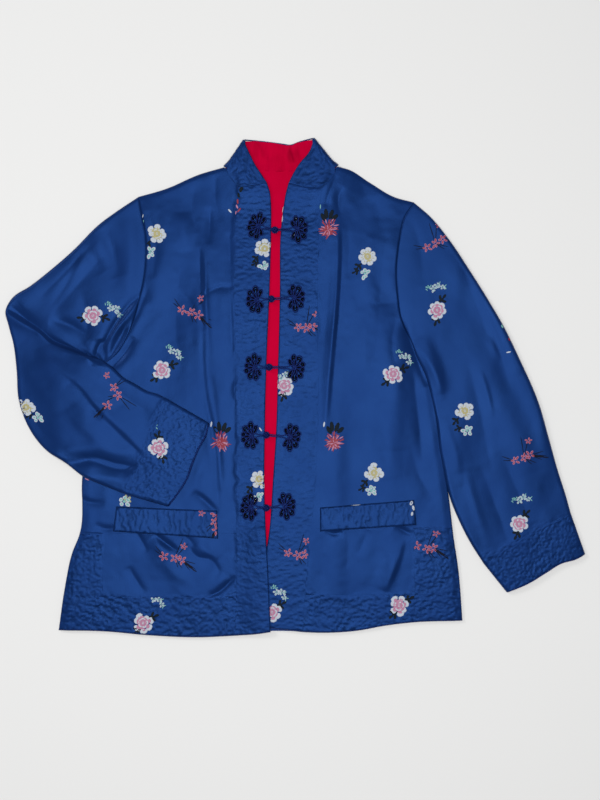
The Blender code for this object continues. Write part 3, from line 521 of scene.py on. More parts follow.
# Floats of coloured weft, which make the woven flowers a little matt
FLOSS = {
    "white": yarn("white weft floss", "#B4BCC6", 0.5, 0.3, FLOSS_GRAIN),
    "yellow": yarn("straw weft floss", "#A8A070", 0.5, 0.3, FLOSS_GRAIN),
    "mint": yarn("mint weft floss", "#70A9A4", 0.5, 0.3, FLOSS_GRAIN),
    "pink": yarn("pink weft floss", "#AC7390", 0.5, 0.3, FLOSS_GRAIN),
    "red": yarn("rose red weft floss", "#8A1B31", 0.5, 0.3, FLOSS_GRAIN),
    "green": yarn("dark green weft floss", "#06141F", 0.6, 0.1, FLOSS_GRAIN),
    "branch": yarn("dark navy weft floss", "#080B1E", 0.6, 0.1, FLOSS_GRAIN),
}
print("materials:", len(bpy.data.materials))

# %% [markdown]
# ## From a flat grid to a piece of cloth
# Every piece starts as Blender's own grid. A patch function bends the grid to the piece's four edges,
# and the height functions lift it. The Solidify modifier then gives it a wall and a lining side. The
# outer face is the one that is placed, so the wall grows inwards and the creases stay sharp outside.

# %% Cloth helpers
# Rows of points near a turned edge, in mm from it. Beyond EDGE_BAND they are evenly spaced
NEAR_EDGE = np.array([0.0, 0.5, 1.1, 2.0, 3.2])
EDGE_BAND = 4.8
# The outer face of each piece of cloth, on which the flowers find their height later
surfaces = {}


def patch(inner, outer, start, end):
    """A map from the unit square to the cloth between four edges: u inner to outer, v start to end."""
    low_inner, low_outer, high_inner, high_outer = inner.at(0), outer.at(0), inner.at(1), outer.at(1)

    def point(u, v):
        across, along = u[..., None], v[..., None]
        straight = ((1 - along) * start.at(u) + along * end.at(u)
                    + (1 - across) * inner.at(v) + across * outer.at(v))
        low = (1 - across) * low_inner + across * low_outer
        high = (1 - across) * high_inner + across * high_outer
        return straight - (1 - along) * low - along * high

    return point


def width_at(shape, v):
    """How wide a patch is at each v, in mm."""
    return np.hypot(*(shape(np.ones_like(v), v) - shape(np.zeros_like(v), v)).T)


def height_at(shape, u):
    """How high a patch is at each u, in mm."""
    return np.hypot(*(shape(u, np.ones_like(u)) - shape(u, np.zeros_like(u))).T)


def spaced(length, step):
    """Shares of a length in even steps, with closer ones at both ends for the turned edges."""
    count = max(2, round((length - 2 * EDGE_BAND) / step) + 1)
    middle = np.linspace(EDGE_BAND, length - EDGE_BAND, count)
    return np.concatenate([NEAR_EDGE, middle, (length - NEAR_EDGE)[::-1]]) / length


def turned_edge(away, depth, reach):
    """How far cloth sinks near its turned edge, as a quarter of a round."""
    inside = np.clip(away / reach, 0, 1)
    return depth * (1 - np.sqrt(1 - (1 - inside) ** 2))


def unit_grid(columns, rows):
    """A grid mesh, the column and row value of each of its points, and its two layers of values."""
    mesh = bmesh.new()
    bmesh.ops.create_grid(mesh, x_segments=len(columns) - 1, y_segments=len(rows) - 1, size=1)
    flat = np.array([vert.co[:2] for vert in mesh.verts])
    column = np.rint((flat[:, 0] + 1) / 2 * (len(columns) - 1)).astype(int)
    row = np.rint((flat[:, 1] + 1) / 2 * (len(rows) - 1)).astype(int)
    weave = mesh.loops.layers.uv.new("weave")
    # A layer of painted shade, which darkens the satin's colour
    quilted = mesh.verts.layers.float.new("painted_shade")
    return mesh, columns[column], rows[row], weave, quilted


def cloth_piece(name, columns, rows, place, wall, materials, closed_ring=False):
    """A grid placed by place(u, v), which gives x, y and z in mm, its u and v in mm, and its painted shade.
    """
    mesh, u, v, weave, quilted = unit_grid(columns, rows)
    x, y, z, across, along, painted_shade = place(u, v)
    spots = np.column_stack([x + PAGE_SHIFT[0], y + PAGE_SHIFT[1], z]) * MM
    painted_shade = np.broadcast_to(painted_shade, x.shape)
    values = zip(mesh.verts, spots.tolist(), painted_shade.tolist(), across.tolist(), along.tolist())
    for vert, spot, rise, reach, way in values:
        vert.co = spot
        vert[quilted] = rise
        for loop in vert.link_loops:
            loop[weave].uv = (reach * MM, way * MM)
    if closed_ring:
        bmesh.ops.remove_doubles(mesh, verts=mesh.verts, dist=0.01 * MM)
    for edge in mesh.edges:
        edge.smooth = not edge.is_boundary
    mesh.normal_update()
    upper = max(mesh.faces, key=lambda face: abs(face.normal.z) * face.calc_center_median().z)
    if upper.normal.z < 0:
        bmesh.ops.reverse_faces(mesh, faces=mesh.faces)
    return cloth_object(name, mesh, wall, materials)


def add_object(name, data, materials):
    """An object with its materials, on the jacket's one body."""
    for material in materials:
        data.materials.append(material)
    obj = bpy.data.objects.new(name, data)
    bpy.context.scene.collection.objects.link(obj)
    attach(obj, "root")
    return obj


def cloth_object(name, mesh, wall, materials):
    """Makes the object, with its wall grown inwards from the placed face."""
    surfaces[name] = BVHTree.FromBMesh(mesh)
    data = bpy.data.meshes.new(name)
    mesh.to_mesh(data)
    mesh.free()
    data.shade_smooth()
    obj = add_object(name, data, materials)
    thicken = obj.modifiers.new("cloth wall", "SOLIDIFY")
    thicken.thickness = wall * MM
    thicken.offset = -1.0
    thicken.material_offset = 1
    return obj


def cut_size(*edges):
    """The bounding width and length of a flat piece in metres, and its area, from its outline."""
    outline = np.concatenate([edge.points for edge in edges])
    width, length = np.ptp(outline, axis=0)
    x, y = outline.T
    area = abs(np.dot(x, np.roll(y, -1)) - np.dot(y, np.roll(x, -1))) / 2
    return width * MM, length * MM, area * MM * MM


def panel(node, inner, outer, start, end, step, surface, rolls, wall, materials, slot):
    """One flat piece of cloth between four edges, made as a sheet in place of its solid, which is hidden.

    surface gives the height at x, y, and the painted shade of its quilting. rolls gives how deep and how
    wide the turned edge is at the inner, outer, start and end side.
    """
    shape = patch(inner, outer, start, end)

    def place(u, v):
        x, y = shape(u, v).T
        width, height = width_at(shape, v), height_at(shape, u)
        aways = (u * width, (1 - u) * width, v * height, (1 - v) * height)
        drop = np.max([turned_edge(away, *roll) for away, roll in zip(aways, rolls)], axis=0)
        z, painted_shade = surface(x, y)
        return x, y, z - drop, u * width, v * height, painted_shade

    columns = spaced(max(start.length, end.length), step)
    rows = spaced(max(inner.length, outer.length), step)
    obj = cloth_piece("cloth_" + node, columns, rows, place, wall, materials)
    width, length, area = cut_size(start, outer, end.reversed(), inner.reversed())
    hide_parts(node)
    print(obj.name, "cut:", round(width / MM), "x", round(length / MM), "mm,",
          len(obj.data.vertices), "points")


# %% [markdown]
# ## The back and its lining
# The back lies flat on the surface, hidden by the fronts, so it is one plain sheet. Its crimson lining
# shows at the neck and in the gap between the fronts. It ends inside the seams, and its columns are
# closer together down the middle, where it is seen.

# %% Back and back lining
BACK_STEP = 9.0
FLAT_ROLL = (0.0, 1.0)
BACK_LINING_TOP = 3.1
BACK_LINING_WALL = 0.9
BACK_LINING_INSET = 24.0
LINING_NECK_GAP = 0.2
# Where the lining reaches up to the neck seam, and where it shows between the fronts
NECK_FROM_X, NECK_TO_X, NECK_RAMP = -96, 55, 14
OPENING_X, OPENING_HALF, OPENING_RAMP = -25, 58, 20
HIDDEN_DROP = 1.2
# A band of painted shade across the lining, just below the first frog, where the fronts nearly meet
LINING_SHADE_Y, LINING_SHADE_WIDTH = 208, 16


def back_edges():
    """The back's four edges: right side, left side, top and hem."""
    top = Edge(RIGHT_SHOULDER).reversed().joined(back_neck_seam).joined(Edge(LEFT_SHOULDER))
    hem = Edge(RIGHT_HEM).reversed().joined(Edge([RIGHT_HEM[0], RIGHT_BAND_HEM[0], LEFT_HEM[0]]))
    return right_outer_edge, left_outer_edge, top, hem.joined(Edge(LEFT_HEM))


def make_back():
    panel("back", *back_edges(), BACK_STEP, lambda x, y: (BACK_WALL + 0 * x, 1.0), [FLAT_ROLL] * 4,
          BACK_WALL, [blue_satin, blue_satin], "blue_satin")


def make_back_lining():
    right_side, left_side, top, hem = back_edges()
    shape = patch(right_side, left_side, top, hem)

    def place(u, v):
        width, height = width_at(shape, v), height_at(shape, u)
        inset_u, inset_v = BACK_LINING_INSET / width, BACK_LINING_INSET / height
        x, y = shape(inset_u + u * (1 - 2 * inset_u), inset_v + v * (1 - 2 * inset_v)).T
        at_neck = smooth_step((x - NECK_FROM_X) / NECK_RAMP) * smooth_step((NECK_TO_X - x) / NECK_RAMP)
        y = y + (BACK_LINING_INSET - LINING_NECK_GAP) * (1 - v) * at_neck
        waves = 0.25 * crumple(x, y * 0.4, 16, 31) + 0.12 * crumple(x, y, 6, 32)
        hidden = smooth_step((np.abs(x - OPENING_X) - OPENING_HALF) / OPENING_RAMP)
        # Painted shade: the lining's colour is darker in the band round LINING_SHADE_Y
        shade = 1 - 0.5 * np.exp(-(((y - LINING_SHADE_Y) / LINING_SHADE_WIDTH) ** 2))
        z = BACK_LINING_TOP - HIDDEN_DROP * hidden + np.minimum(waves, 0.2)
        return x, y, z, u * width, v * height, shade

    columns = np.concatenate([np.linspace(0, 0.36, 14), np.linspace(0.37, 0.60, 44),
                              np.linspace(0.61, 1, 15)])
    rows = np.linspace(0, 1, 150)
    cloth = [red_satin, red_satin]
    obj = cloth_piece("cloth_back_lining", columns, rows, place, BACK_LINING_WALL, cloth)
    width, length, area = cut_size(top, left_side, hem.reversed(), right_side.reversed())
    width, length = width - 2 * BACK_LINING_INSET * MM, length - 2 * BACK_LINING_INSET * MM
    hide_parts("back_lining")
    print(obj.name, "cut:", round(width / MM), "x", round(length / MM), "mm")


make_back()
make_back_lining()

# %% [markdown]
# ## The fronts, their pocket panels and quilted bands
# Each front is cut in five: the front down to the pocket's line, the pocket panel below the welt, and
# quilted bands at the side vent, the hem and the front edge. One function gives the finished face of
# them all, so the seams meet flush, and the quilting fades out round the plain satin as the wadding
# does. Quilted pieces need a fine grid of about 1.4 mm, and plain satin can do with 2.6 mm.

# %% Fronts
# Grid steps, walls, and turned edges as (depth, width)
PLAIN_STEP, POCKET_STEP, QUILT_STEP = 2.6, 1.8, 1.45
SATIN_WALL, QUILT_WALL = 1.5, 1.8
SEAM_ROLL = (0.04, 0.6)
FREE_ROLL = (1.2, 1.8)
SHOULDER_ROLL = (2.4, 6.0)
SIDE_ROLL = (1.0, 2.4)
QUILT_BORDER = 8.0
CORNER_ROUND = 26.0
RIGHT_POCKET_Y, RIGHT_HEM_BAND_Y, RIGHT_SIDE_BAND_X = -206.5, -294.7, -271.0
LEFT_POCKET_Y, LEFT_HEM_BAND_Y, LEFT_SIDE_BAND_X = -199.5, -291.9, 166.0


def inside_plain(from_band, from_side, y, pocket_y, hem_band_y):
    """How far a point lies inside a front's plain satin, which has round corners at the pocket's foot."""
    from_side = from_side + 300 * smooth_step((y - pocket_y) / 14)
    nearest, from_hem = np.minimum(from_band, from_side), y - hem_band_y
    corner_x = np.maximum(CORNER_ROUND - nearest, 0)
    corner_y = np.maximum(CORNER_ROUND - from_hem, 0)
    return CORNER_ROUND - np.hypot(corner_x, corner_y)


def quilted_share(x, y):
    """1 where the fronts are quilted and 0 where they are plain, with a soft uneven border."""
    right = inside_plain(right_band_seam.x_at_y(y) - x, x - RIGHT_SIDE_BAND_X, y,
                         RIGHT_POCKET_Y, RIGHT_HEM_BAND_Y)
    left = inside_plain(x - left_band_seam.x_at_y(y), LEFT_SIDE_BAND_X - x, y,
                        LEFT_POCKET_Y, LEFT_HEM_BAND_Y)
    inside = np.maximum(right, left) + 3.0 * crumple(x, y, 11.0, 71)
    return 1 - smooth_step(inside / QUILT_BORDER + 0.5)


def quilted_relief(x, y, share, size):
    """The quilting's height over the cloth, and the value that shades its rows of stitches."""
    puff = quilting(x, y, size)
    height = size[2] * (QUILT_RELIEF * puff + 0.2 * crumple(x, y, 2.6, 42)) + 0.25 * crumple(x, y, 24, 41)
    return share * height, 1 - share * (1 - puff) * size[2]


def front_surface(x, y, size=HEM_QUILT):
    """The finished outer face of the fronts, the same on both sides of each seam."""
    share = quilted_share(x, y)
    height, shade = quilted_relief(x, y, share, size)
    soft = creases(x, y, FRONT_CREASES) + creases(x, y, POCKET_CREASES) + soft_crumple(x, y)
    return front_top(x, y) + height + (1 - 0.7 * share) * soft, shade


def make_front(side, neck_seam, band_seam, outer_edge, shoulder, pocket_y, hem_band_y, side_band_x, hem):
    """One front with its pocket panel, quilted vent band and quilted hem band."""
    cloth = [blue_satin, red_satin]
    inner = neck_seam.joined(band_seam.cut(band_seam.points[0][1], pocket_y))
    outer = outer_edge.cut(outer_edge.points[0][1], pocket_y)
    panel(f"front_{side}", inner, outer, shoulder, Edge([inner.at(1), outer.at(1)]), PLAIN_STEP,
          front_surface, (SEAM_ROLL, SIDE_ROLL, SHOULDER_ROLL, SEAM_ROLL), SATIN_WALL, cloth, "blue_satin")

    split_top, split_bottom = np.array([side_band_x, pocket_y]), np.array([side_band_x, hem_band_y])
    split = Edge([split_top, split_bottom])
    seam = band_seam.cut(pocket_y, hem_band_y)
    top, bottom = Edge([seam.at(0), split_top]), Edge([seam.at(1), split_bottom])
    panel(f"pocket_{side}", seam, split, top, bottom, POCKET_STEP,
          front_surface, [SEAM_ROLL] * 4, SATIN_WALL, cloth, "blue_satin")

    vent = outer_edge.cut(pocket_y, hem_band_y)
    top, bottom = Edge([split_top, vent.at(0)]), Edge([split_bottom, vent.at(1)])
    panel(f"side_band_{side}", split, vent, top, bottom, QUILT_STEP,
          front_surface, (SEAM_ROLL, FREE_ROLL, SEAM_ROLL, SEAM_ROLL), QUILT_WALL, cloth, "quilted_satin")

    inner = band_seam.cut(hem_band_y, band_seam.points[-1][1])
    outer = outer_edge.cut(hem_band_y, outer_edge.points[-1][1])
    panel(f"hem_band_{side}", inner, outer, Edge([inner.at(0), outer.at(0)]), hem, QUILT_STEP,
          front_surface, (SEAM_ROLL, FREE_ROLL, SEAM_ROLL, FREE_ROLL), QUILT_WALL, cloth, "quilted_satin")


def make_band(side, front_edge, band_seam, band_top, band_hem, lift):
    """The quilted band down a front edge, from the collar to the hem."""

    def surface(x, y):
        z, shade = front_surface(x, y, BAND_QUILT)
        return z + lift(x, y), shade

    panel(f"band_{side}", band_seam, front_edge, band_top, band_hem.reversed(), QUILT_STEP,
          surface, (SEAM_ROLL, FREE_ROLL, SEAM_ROLL, FREE_ROLL), QUILT_WALL, [blue_satin, red_satin],
          "quilted_satin")


make_front("right", right_neck_seam, right_band_seam, right_outer_edge, Edge(RIGHT_SHOULDER),
           RIGHT_POCKET_Y, RIGHT_HEM_BAND_Y, RIGHT_SIDE_BAND_X, Edge(RIGHT_HEM))
make_front("left", left_neck_seam, left_band_seam, left_outer_edge, Edge(LEFT_SHOULDER),
           LEFT_POCKET_Y, LEFT_HEM_BAND_Y, LEFT_SIDE_BAND_X, Edge(LEFT_HEM))
make_band("right", right_front_edge, right_band_seam, right_band_top, Edge(RIGHT_BAND_HEM), overlap_lift)
make_band("left", left_front_edge, left_band_seam, left_band_top, Edge(LEFT_BAND_HEM),
          lambda x, y: 0 * x)

# %% [markdown]
# ## Sleeves and cuffs
# A laid sleeve is a flattened tube: two layers with soft round edges and air between them. A table of
# cross lines from the armhole to the cuff gives its plan, and the grid is wrapped round it as a ring.
# The right sleeve is folded at the elbow, and its forearm climbs onto the front.

# %% Sleeves
# Cross lines from the armhole to the cuff seam: outer end x, y, inner end x, y, height
RIGHT_SLEEVE = [
    (-220, 266, -269, 31, 5.4),
    (-248.5, 247, -272, 33.6, 6.8),
    (-275, 227.5, -274.4, 35.4, 7.4),
    (-311.5, 191, -276.6, 36.9, 7.4),
    (-343.7, 163, -279, 38.2, 7.2),
    (-371.7, 141, -281.4, 39.4, 7.2),
    (-397, 124, -283.6, 40.2, 8.4),
    (-406.5, 105.7, -284, 41, 8.8),
    (-402.5, 86, -278, 40, 6.8),
    (-395.5, 59.5, -270.5, 36.5, 7.0),
    (-391, 23, -264, 32.5, 7.4),
    (-388, -19, -257, 28, 7.6),
    (-371.7, -61, -250, 21.5, 7.4),
    (-349, -89, -240, 12, 7.2),
    (-321, -107, -224.7, 3.5, 7.0),
    (-294.7, -127, -208, -6.3, 6.8),
    (-267, -139, -194, -10.5, 6.6),
    (-234.5, -152, -178.5, -18, 6.4),
]
LEFT_SLEEVE = [
    (166, 258, 155, 79, 5.4),
    (188, 239, 162, 63, 6.8),
    (216, 205, 169.5, 42, 7.4),
    (244, 163, 182, 16, 7.4),
    (271, 120, 192.5, -23, 7.4),
    (292, 84, 197.3, -48, 7.4),
    (312, 43, 201.5, -84, 7.4),
    (339.5, -19, 207, -114, 7.2),
    (355.6, -74, 217, -157.5, 7.0),
    (367.5, -117, 231.7, -193, 6.8),
    (378.7, -152, 247, -222, 6.6),
    (385.7, -177, 264, -248.5, 6.4),
]
CUFF_HEIGHT = 6.4
RIGHT_CUFF_END = [
    (-178.5, -168), (-165, -150), (-152, -129), (-144, -107), (-135, -85.5), (-126, -69), (-121, -51),
]
LEFT_CUFF_END = [(406, -234.5), (392.7, -241.5), (372, -247.5), (351.5, -260), (327, -275), (296, -288.4)]
ARMHOLE_REACH = 0.3
SHARE_SCALE = 1000
FIRST_LIFTED_SECTION, LAST_LIFTED_SECTION = 7, 9
SIDE_RAMP_START, SIDE_RAMP_END = 112.0, 18.0
EDGE_ROUNDING = 5.0
ARMHOLE_ROLL = (1.0, 2.2)
CUFF_BORDER = 14.0
SLEEVE_STEP, SLEEVE_ROW_STEP, HIDDEN_STEP = 2.8, 3.4, 6
# More rows of points between two cross lines at the elbow, and in the last part of the sleeve
ELBOW_START, ELBOW_END, ELBOW_ROWS = 6, 9, 40
CUFF_SEAM_REACH, CUFF_SEAM_ROWS = 26, 19
# The tight inner corner of the elbow, where bunched cloth stands a little off the surface
ELBOW_CORNER, ELBOW_LIFT = (-288, 43), 1.8
# Folds and creases of the sleeves: points, width to the left, width to the right, height
SLEEVE_FOLDS = [
    ([(-246, 222), (-300, 178), (-352, 116)], 16, 14, 1.4),
    ([(-268, 186), (-344, 96)], 14, 12, -1.0),
    ([(-296, 180), (-388, 118)], 12, 11, 1.4),
    ([(-384, 60), (-350, 20), (-320, -30)], 22, 20, 1.2),
    ([(-340, 10), (-270, -50), (-216, -92)], 18, 15, 1.4),
    ([(-330, -98), (-280, -100), (-206, -120)], 8, 10, -1.6),
    ([(-244, -28), (-196, -90)], 12, 14, 1.2),
    ([(192, 206), (250, 130), (318, 20)], 16, 18, 1.4),
    ([(230, 178), (296, 0)], 12, 14, -0.8),
    ([(176, 70), (190, 40), (206, -10)], 9, 12, 2.2),
    ([(222, -30), (232, -120)], 12, 14, 1.4),
    ([(252, 60), (330, -120)], 18, 16, 1.4),
    ([(286, -90), (330, -190)], 12, 12, -0.9),
]
SLEEVE_CREASES = [
    ([(-416, 110), (-394, 96), (-360, 75), (-342, 60), (-306, 46), (-262, 24)], 2.2, 15, 2.2),
    ([(-412, 115), (-390, 101), (-357, 80), (-339, 65), (-304, 51), (-268, 32)], 14, 3, -2.6),
    ([(-344, 94), (-316, 86), (-288, 70)], 9, 10, -2.2),
    ([(-400, 114), (-382, 98), (-358, 80)], 9, 6, -1.8),
    ([(-268, 222), (-256, 190), (-246, 154)], 9, 11, -1.6),
    ([(-290, 196), (-282, 180), (-270, 160)], 7, 9, -0.9),
    ([(-281, 205), (-318, 164), (-358, 124)], 6, 10, -0.9),
    ([(-300, 190), (-322, 142), (-344, 110)], 6, 9, -0.8),
    ([(-320, 196), (-350, 160), (-384, 132)], 7, 6, 0.7),
    ([(-214, 132), (-233, 112), (-248, 93), (-265, 65), (-278, 48), (-283, 28)], 2.4, 5, -2.6),
    ([(-222, 118), (-242, 90), (-262, 66)], 6, 4, 2.6),
    ([(-272, 66), (-272, 50), (-266, 32)], 7, 6, -4.4),
    ([(-236, 92), (-246, 66), (-262, 38)], 4, 7, -3.6),
    ([(-232, 236), (-230, 186), (-236, 130)], 9, 12, 0.8),
    ([(-300, 136), (-292, 96), (-290, 58)], 8, 10, -0.9),
    ([(-364, 50), (-330, 26), (-299, 1), (-268, -39), (-243, -62), (-202, -101)], 12, 4, 1.5),
    ([(-292, -16), (-264, -46), (-236, -74), (-205, -106)], 3, 13, -1.3),
    ([(-283, -26), (-276, -36), (-270, -46)], 3, 5, -1.2),
    ([(-336, -104), (-310, -106), (-283, -101), (-250, -111), (-196, -108)], 4, 9, -2.4),
    ([(-320, -92), (-276, -86), (-244, -94), (-200, -86)], 11, 8, 1.1),
    ([(-300, -126), (-262, -128), (-224, -138)], 8, 7, 1.0),
    ([(-270, 14), (-240, -14), (-200, -40)], 8, 11, -0.8),
    ([(-320, 34), (-290, 8), (-262, -24)], 8, 8, 0.7),
    ([(-384, 40), (-362, 6), (-330, -30)], 16, 10, 1.2),
    ([(-318, -30), (-296, -56), (-262, -84)], 14, 9, 1.4),
    ([(-352, 56), (-340, 24), (-318, 2)], 16, 12, 1.6),
    ([(-378, -20), (-352, -66), (-318, -90)], 10, 14, -1.0),
    ([(190, 214), (226, 176), (262, 112), (306, 20)], 10, 16, -0.5),
    ([(223, 191), (280, 90), (370, -131)], 14, 10, 0.7),
    ([(256, 140), (280, 70), (304, -15)], 8, 12, -0.8),
    ([(258, 24), (268, -8), (276, -44)], 3.5, 6, 0.9),
    ([(270, 70), (278, 52), (286, 36)], 3.5, 6, 0.8),
    ([(166, 60), (182, 40), (196, 16), (206, -20)], 6, 8, 1.2),
    ([(206, -40), (222, -90), (232, -140)], 6, 9, 1.0),
    ([(240, 40), (262, -50), (276, -130)], 10, 14, -0.7),
    ([(330, 0), (346, -66), (352, -130)], 9, 10, 0.7),
    ([(258, -110), (284, -176), (300, -226)], 7, 10, -0.9),
    ([(236, -110), (252, -170), (272, -224)], 7, 6, 0.8),
    ([(160, 240), (176, 190), (178, 140)], 7, 12, -0.7),
]


def sleeve_plan(table, armhole):
    """The plan of a sleeve, with its first cross lines bent to the armhole, its height and its shares."""
    rows = np.array(table, float)
    middle = (rows[:, 0:2] + rows[:, 2:4]) / 2
    travel = np.hypot(*np.diff(rows[:, 0:2], axis=0).T) + np.hypot(*np.diff(middle, axis=0).T)
    shares = np.concatenate([[0.0], np.cumsum(travel)]) / travel.sum()
    lines = [Edge(np.column_stack([shares * SHARE_SCALE, rows[:, k]])).points for k in range(5)]

    def read(k, t):
        return np.interp(t * SHARE_SCALE, lines[k][:, 0], lines[k][:, 1])

    def point(s, t):
        across = s[..., None]
        outer, inner = np.stack([read(0, t), read(1, t)], -1), np.stack([read(2, t), read(3, t)], -1)
        bend = np.maximum(0.0, 1 - t / ARMHOLE_REACH)[..., None] ** 2
        straight = (1 - across) * rows[0, 0:2] + across * rows[0, 2:4]
        return (1 - across) * outer + across * inner + bend * (armhole.at(s) - straight)

    return point, lambda t: read(4, t), shares


def on_right_front(x, y):
    """The height of what carries the folded sleeve: the surface, or the front that it lies on."""
    edge_x = right_outer_edge.x_at_y(y)
    share = smooth_step((x - edge_x + SIDE_RAMP_START) / (SIDE_RAMP_START - SIDE_RAMP_END))
    return share * (front_top(np.maximum(x, edge_x + EDGE_DROOP_WIDTH), y) + REST_GAP)


def ring_columns(upper_count, lower_count):
    """How far each column of a flattened ring lies from the outer edge, as mm and a share of the width."""
    columns = []
    for side, count in ((1, upper_count), (-1, lower_count)):
        half = [(reach, 0.0) for reach in NEAR_EDGE]
        half += [(EDGE_BAND * (1 - 2 * share), share) for share in np.linspace(0, 1, count)]
        half += [(-reach, 1.0) for reach in NEAR_EDGE[::-1]]
        half = half if side > 0 else half[::-1]
        columns += [(fixed, share, side) for fixed, share in half[:-1]]
    return np.array(columns + [columns[0]])


def tube(node, point, length, rows, step, floor, height, wall, materials, end_roll, seam_at):
    """A flattened tube of cloth, made as a sheet in place of its solid, which is hidden.

    Past the cuff's seam, at seam_at mm along the tube, its upper side is quilted.
    """
    widest = max(width_at(point, np.linspace(0, 1, 9)))
    ring = ring_columns(round(widest / step), round(widest / HIDDEN_STEP))

    def place(u, t):
        fixed, share, side = ring[u].T
        width = width_at(point, t)
        reach = fixed + share * width
        x, y = point(reach / width, t).T
        inside = np.minimum(1.0, np.minimum(reach, width - reach) / EDGE_ROUNDING)
        fullness = np.sqrt(1 - (1 - inside) ** 2)
        rise = height(x, y, t)
        z = floor(x, y, t) + rise / 2 + side * rise / 2 * fullness
        upper = (side > 0) * fullness
        start_drop = turned_edge(t * length, *end_roll[0])
        drop = np.maximum(start_drop, turned_edge((1 - t) * length, *end_roll[1]))
        past_seam = t * length - seam_at + 6 * crumple(x, y, 14.0, 72)
        padded = smooth_step(past_seam / CUFF_BORDER + 0.5)
        quilted, shade = quilted_relief(x, y, padded, CUFF_QUILT)
        z = z + upper * (sleeve_relief(x, y) * (1 - 0.6 * padded) + quilted - drop)
        z = np.maximum(z, floor(x, y, t) + 2 * wall * upper)
        return x, y, z, reach + (side < 0) * widest, t * length, shade

    columns = np.arange(len(ring))
    obj = cloth_piece("cloth_" + node, columns, rows, place, wall, materials, closed_ring=True)
    shares = np.linspace(0, 1, 61)
    left, right = point(np.zeros(61), shares), point(np.ones(61), shares)
    cut_length = max(Edge(left, smooth=False).length, Edge(right, smooth=False).length)
    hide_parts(node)
    print(obj.name, "cut:", round(2 * widest), "x", round(cut_length), "mm,",
          len(obj.data.vertices), "points")


def sleeve_relief(x, y):
    """The creases of the sleeves. The shift keeps their crumple from repeating that of the fronts."""
    return creases(x, y, SLEEVE_CREASES) + 0.55 * soft_crumple(x + 500, y)


def make_sleeve(side, table, armhole, floor):
    plan, rise, shares = sleeve_plan(table, armhole)

    def height(x, y, t):
        ends = smooth_step(t / 0.06) * smooth_step((1 - t) / 0.06)
        return rise(t) + creases(x, y, SLEEVE_FOLDS) * ends

    middle = plan(np.full(61, 0.5), np.linspace(0, 1, 61))
    length = Edge(middle, smooth=False).length
    rows = np.union1d(spaced(length, SLEEVE_ROW_STEP),
                      np.linspace(1 - CUFF_SEAM_REACH / length, 1, CUFF_SEAM_ROWS))
    if side == "right":
        elbow = np.linspace(shares[ELBOW_START], shares[ELBOW_END], ELBOW_ROWS)
        rows = np.unique(np.concatenate([rows, elbow]))
    tube(f"sleeve_{side}", plan, length, rows, SLEEVE_STEP, lambda x, y, t: floor(x, y, t, shares),
         height, SATIN_WALL, [blue_satin, blue_satin], (ARMHOLE_ROLL, SEAM_ROLL), length - 6)


def right_sleeve_floor(x, y, t, shares):
    """The surface up to the elbow, and the front under the forearm."""
    first, last = shares[FIRST_LIFTED_SECTION], shares[LAST_LIFTED_SECTION]
    bunched = ELBOW_LIFT * np.exp(-((np.hypot(x - ELBOW_CORNER[0], y - ELBOW_CORNER[1]) / 8) ** 2))
    return smooth_step((t - first) / (last - first)) * on_right_front(x, y) + bunched


def make_cuff(side, table, end, floor):
    outer, inner = table[-1][0:2], table[-1][2:4]
    plan = patch(Edge([outer, end.at(0)]), Edge([inner, end.at(1)]), Edge([outer, inner]), end)
    length = float(np.hypot(*(end.at(0.5) - (np.array(outer) + np.array(inner)) / 2)))
    tube(f"cuff_{side}", plan, length, spaced(length, QUILT_STEP), QUILT_STEP, floor,
         lambda x, y, t: CUFF_HEIGHT + 0 * x, QUILT_WALL, [blue_satin, red_satin],
         (SEAM_ROLL, FREE_ROLL), -6.0)


right_armhole = right_outer_edge.cut(RIGHT_OUTER_EDGE[0][1], RIGHT_ARMPIT_Y)
left_armhole = left_outer_edge.cut(LEFT_OUTER_EDGE[0][1], LEFT_ARMPIT_Y)
make_sleeve("right", RIGHT_SLEEVE, right_armhole, right_sleeve_floor)
make_sleeve("left", LEFT_SLEEVE, left_armhole, lambda x, y, t, shares: 0 * x)
make_cuff("right", RIGHT_SLEEVE, Edge(RIGHT_CUFF_END), lambda x, y, t: on_right_front(x, y))
make_cuff("left", LEFT_SLEEVE, Edge(LEFT_CUFF_END), lambda x, y, t: 0 * x)

# %% [markdown]
# ## The stand collar
# The collar is one strip that runs from the right front end round the back of the neck to the left
# front end. Laid flat, it folds sharply at each side of the neck: its front ends show their quilted
# outside, and its back shows the crimson lining. The strip's middle surface comes first, and each layer
# is that surface moved along its normals.

# %% Collar
COLLAR_WALL = 1.8
COLLAR_DEPTH = 42.0
COLLAR_AROUND = 330
COLLAR_FRONT_MIDDLE, COLLAR_BACK_MIDDLE = 7.2, 0.9
LINING_FRONT_MIDDLE, LINING_BACK_MIDDLE = 5.4, 2.6
COLLAR_SEAM_GAP = -0.2
# Creases of the lining at the back of the neck
LINING_CREASES = [
    ([(-7, 345), (-8, 332), (-3, 312)], 1.8, 4, -0.9),
    ([(-56, 346), (-48, 330), (-44, 312)], 4, 4, -0.5),
    ([(4, 345), (3, 326), (8, 310)], 4, 3, -0.4),
]
FOLD_RISE = 0.25
# The strip's five stages round the neck, each with its number of columns of points
COLLAR_STAGES = [40, 8, 80, 8, 40]
# Above this height the strip is a front end, which shows its outside
SEEN_ABOVE = 4


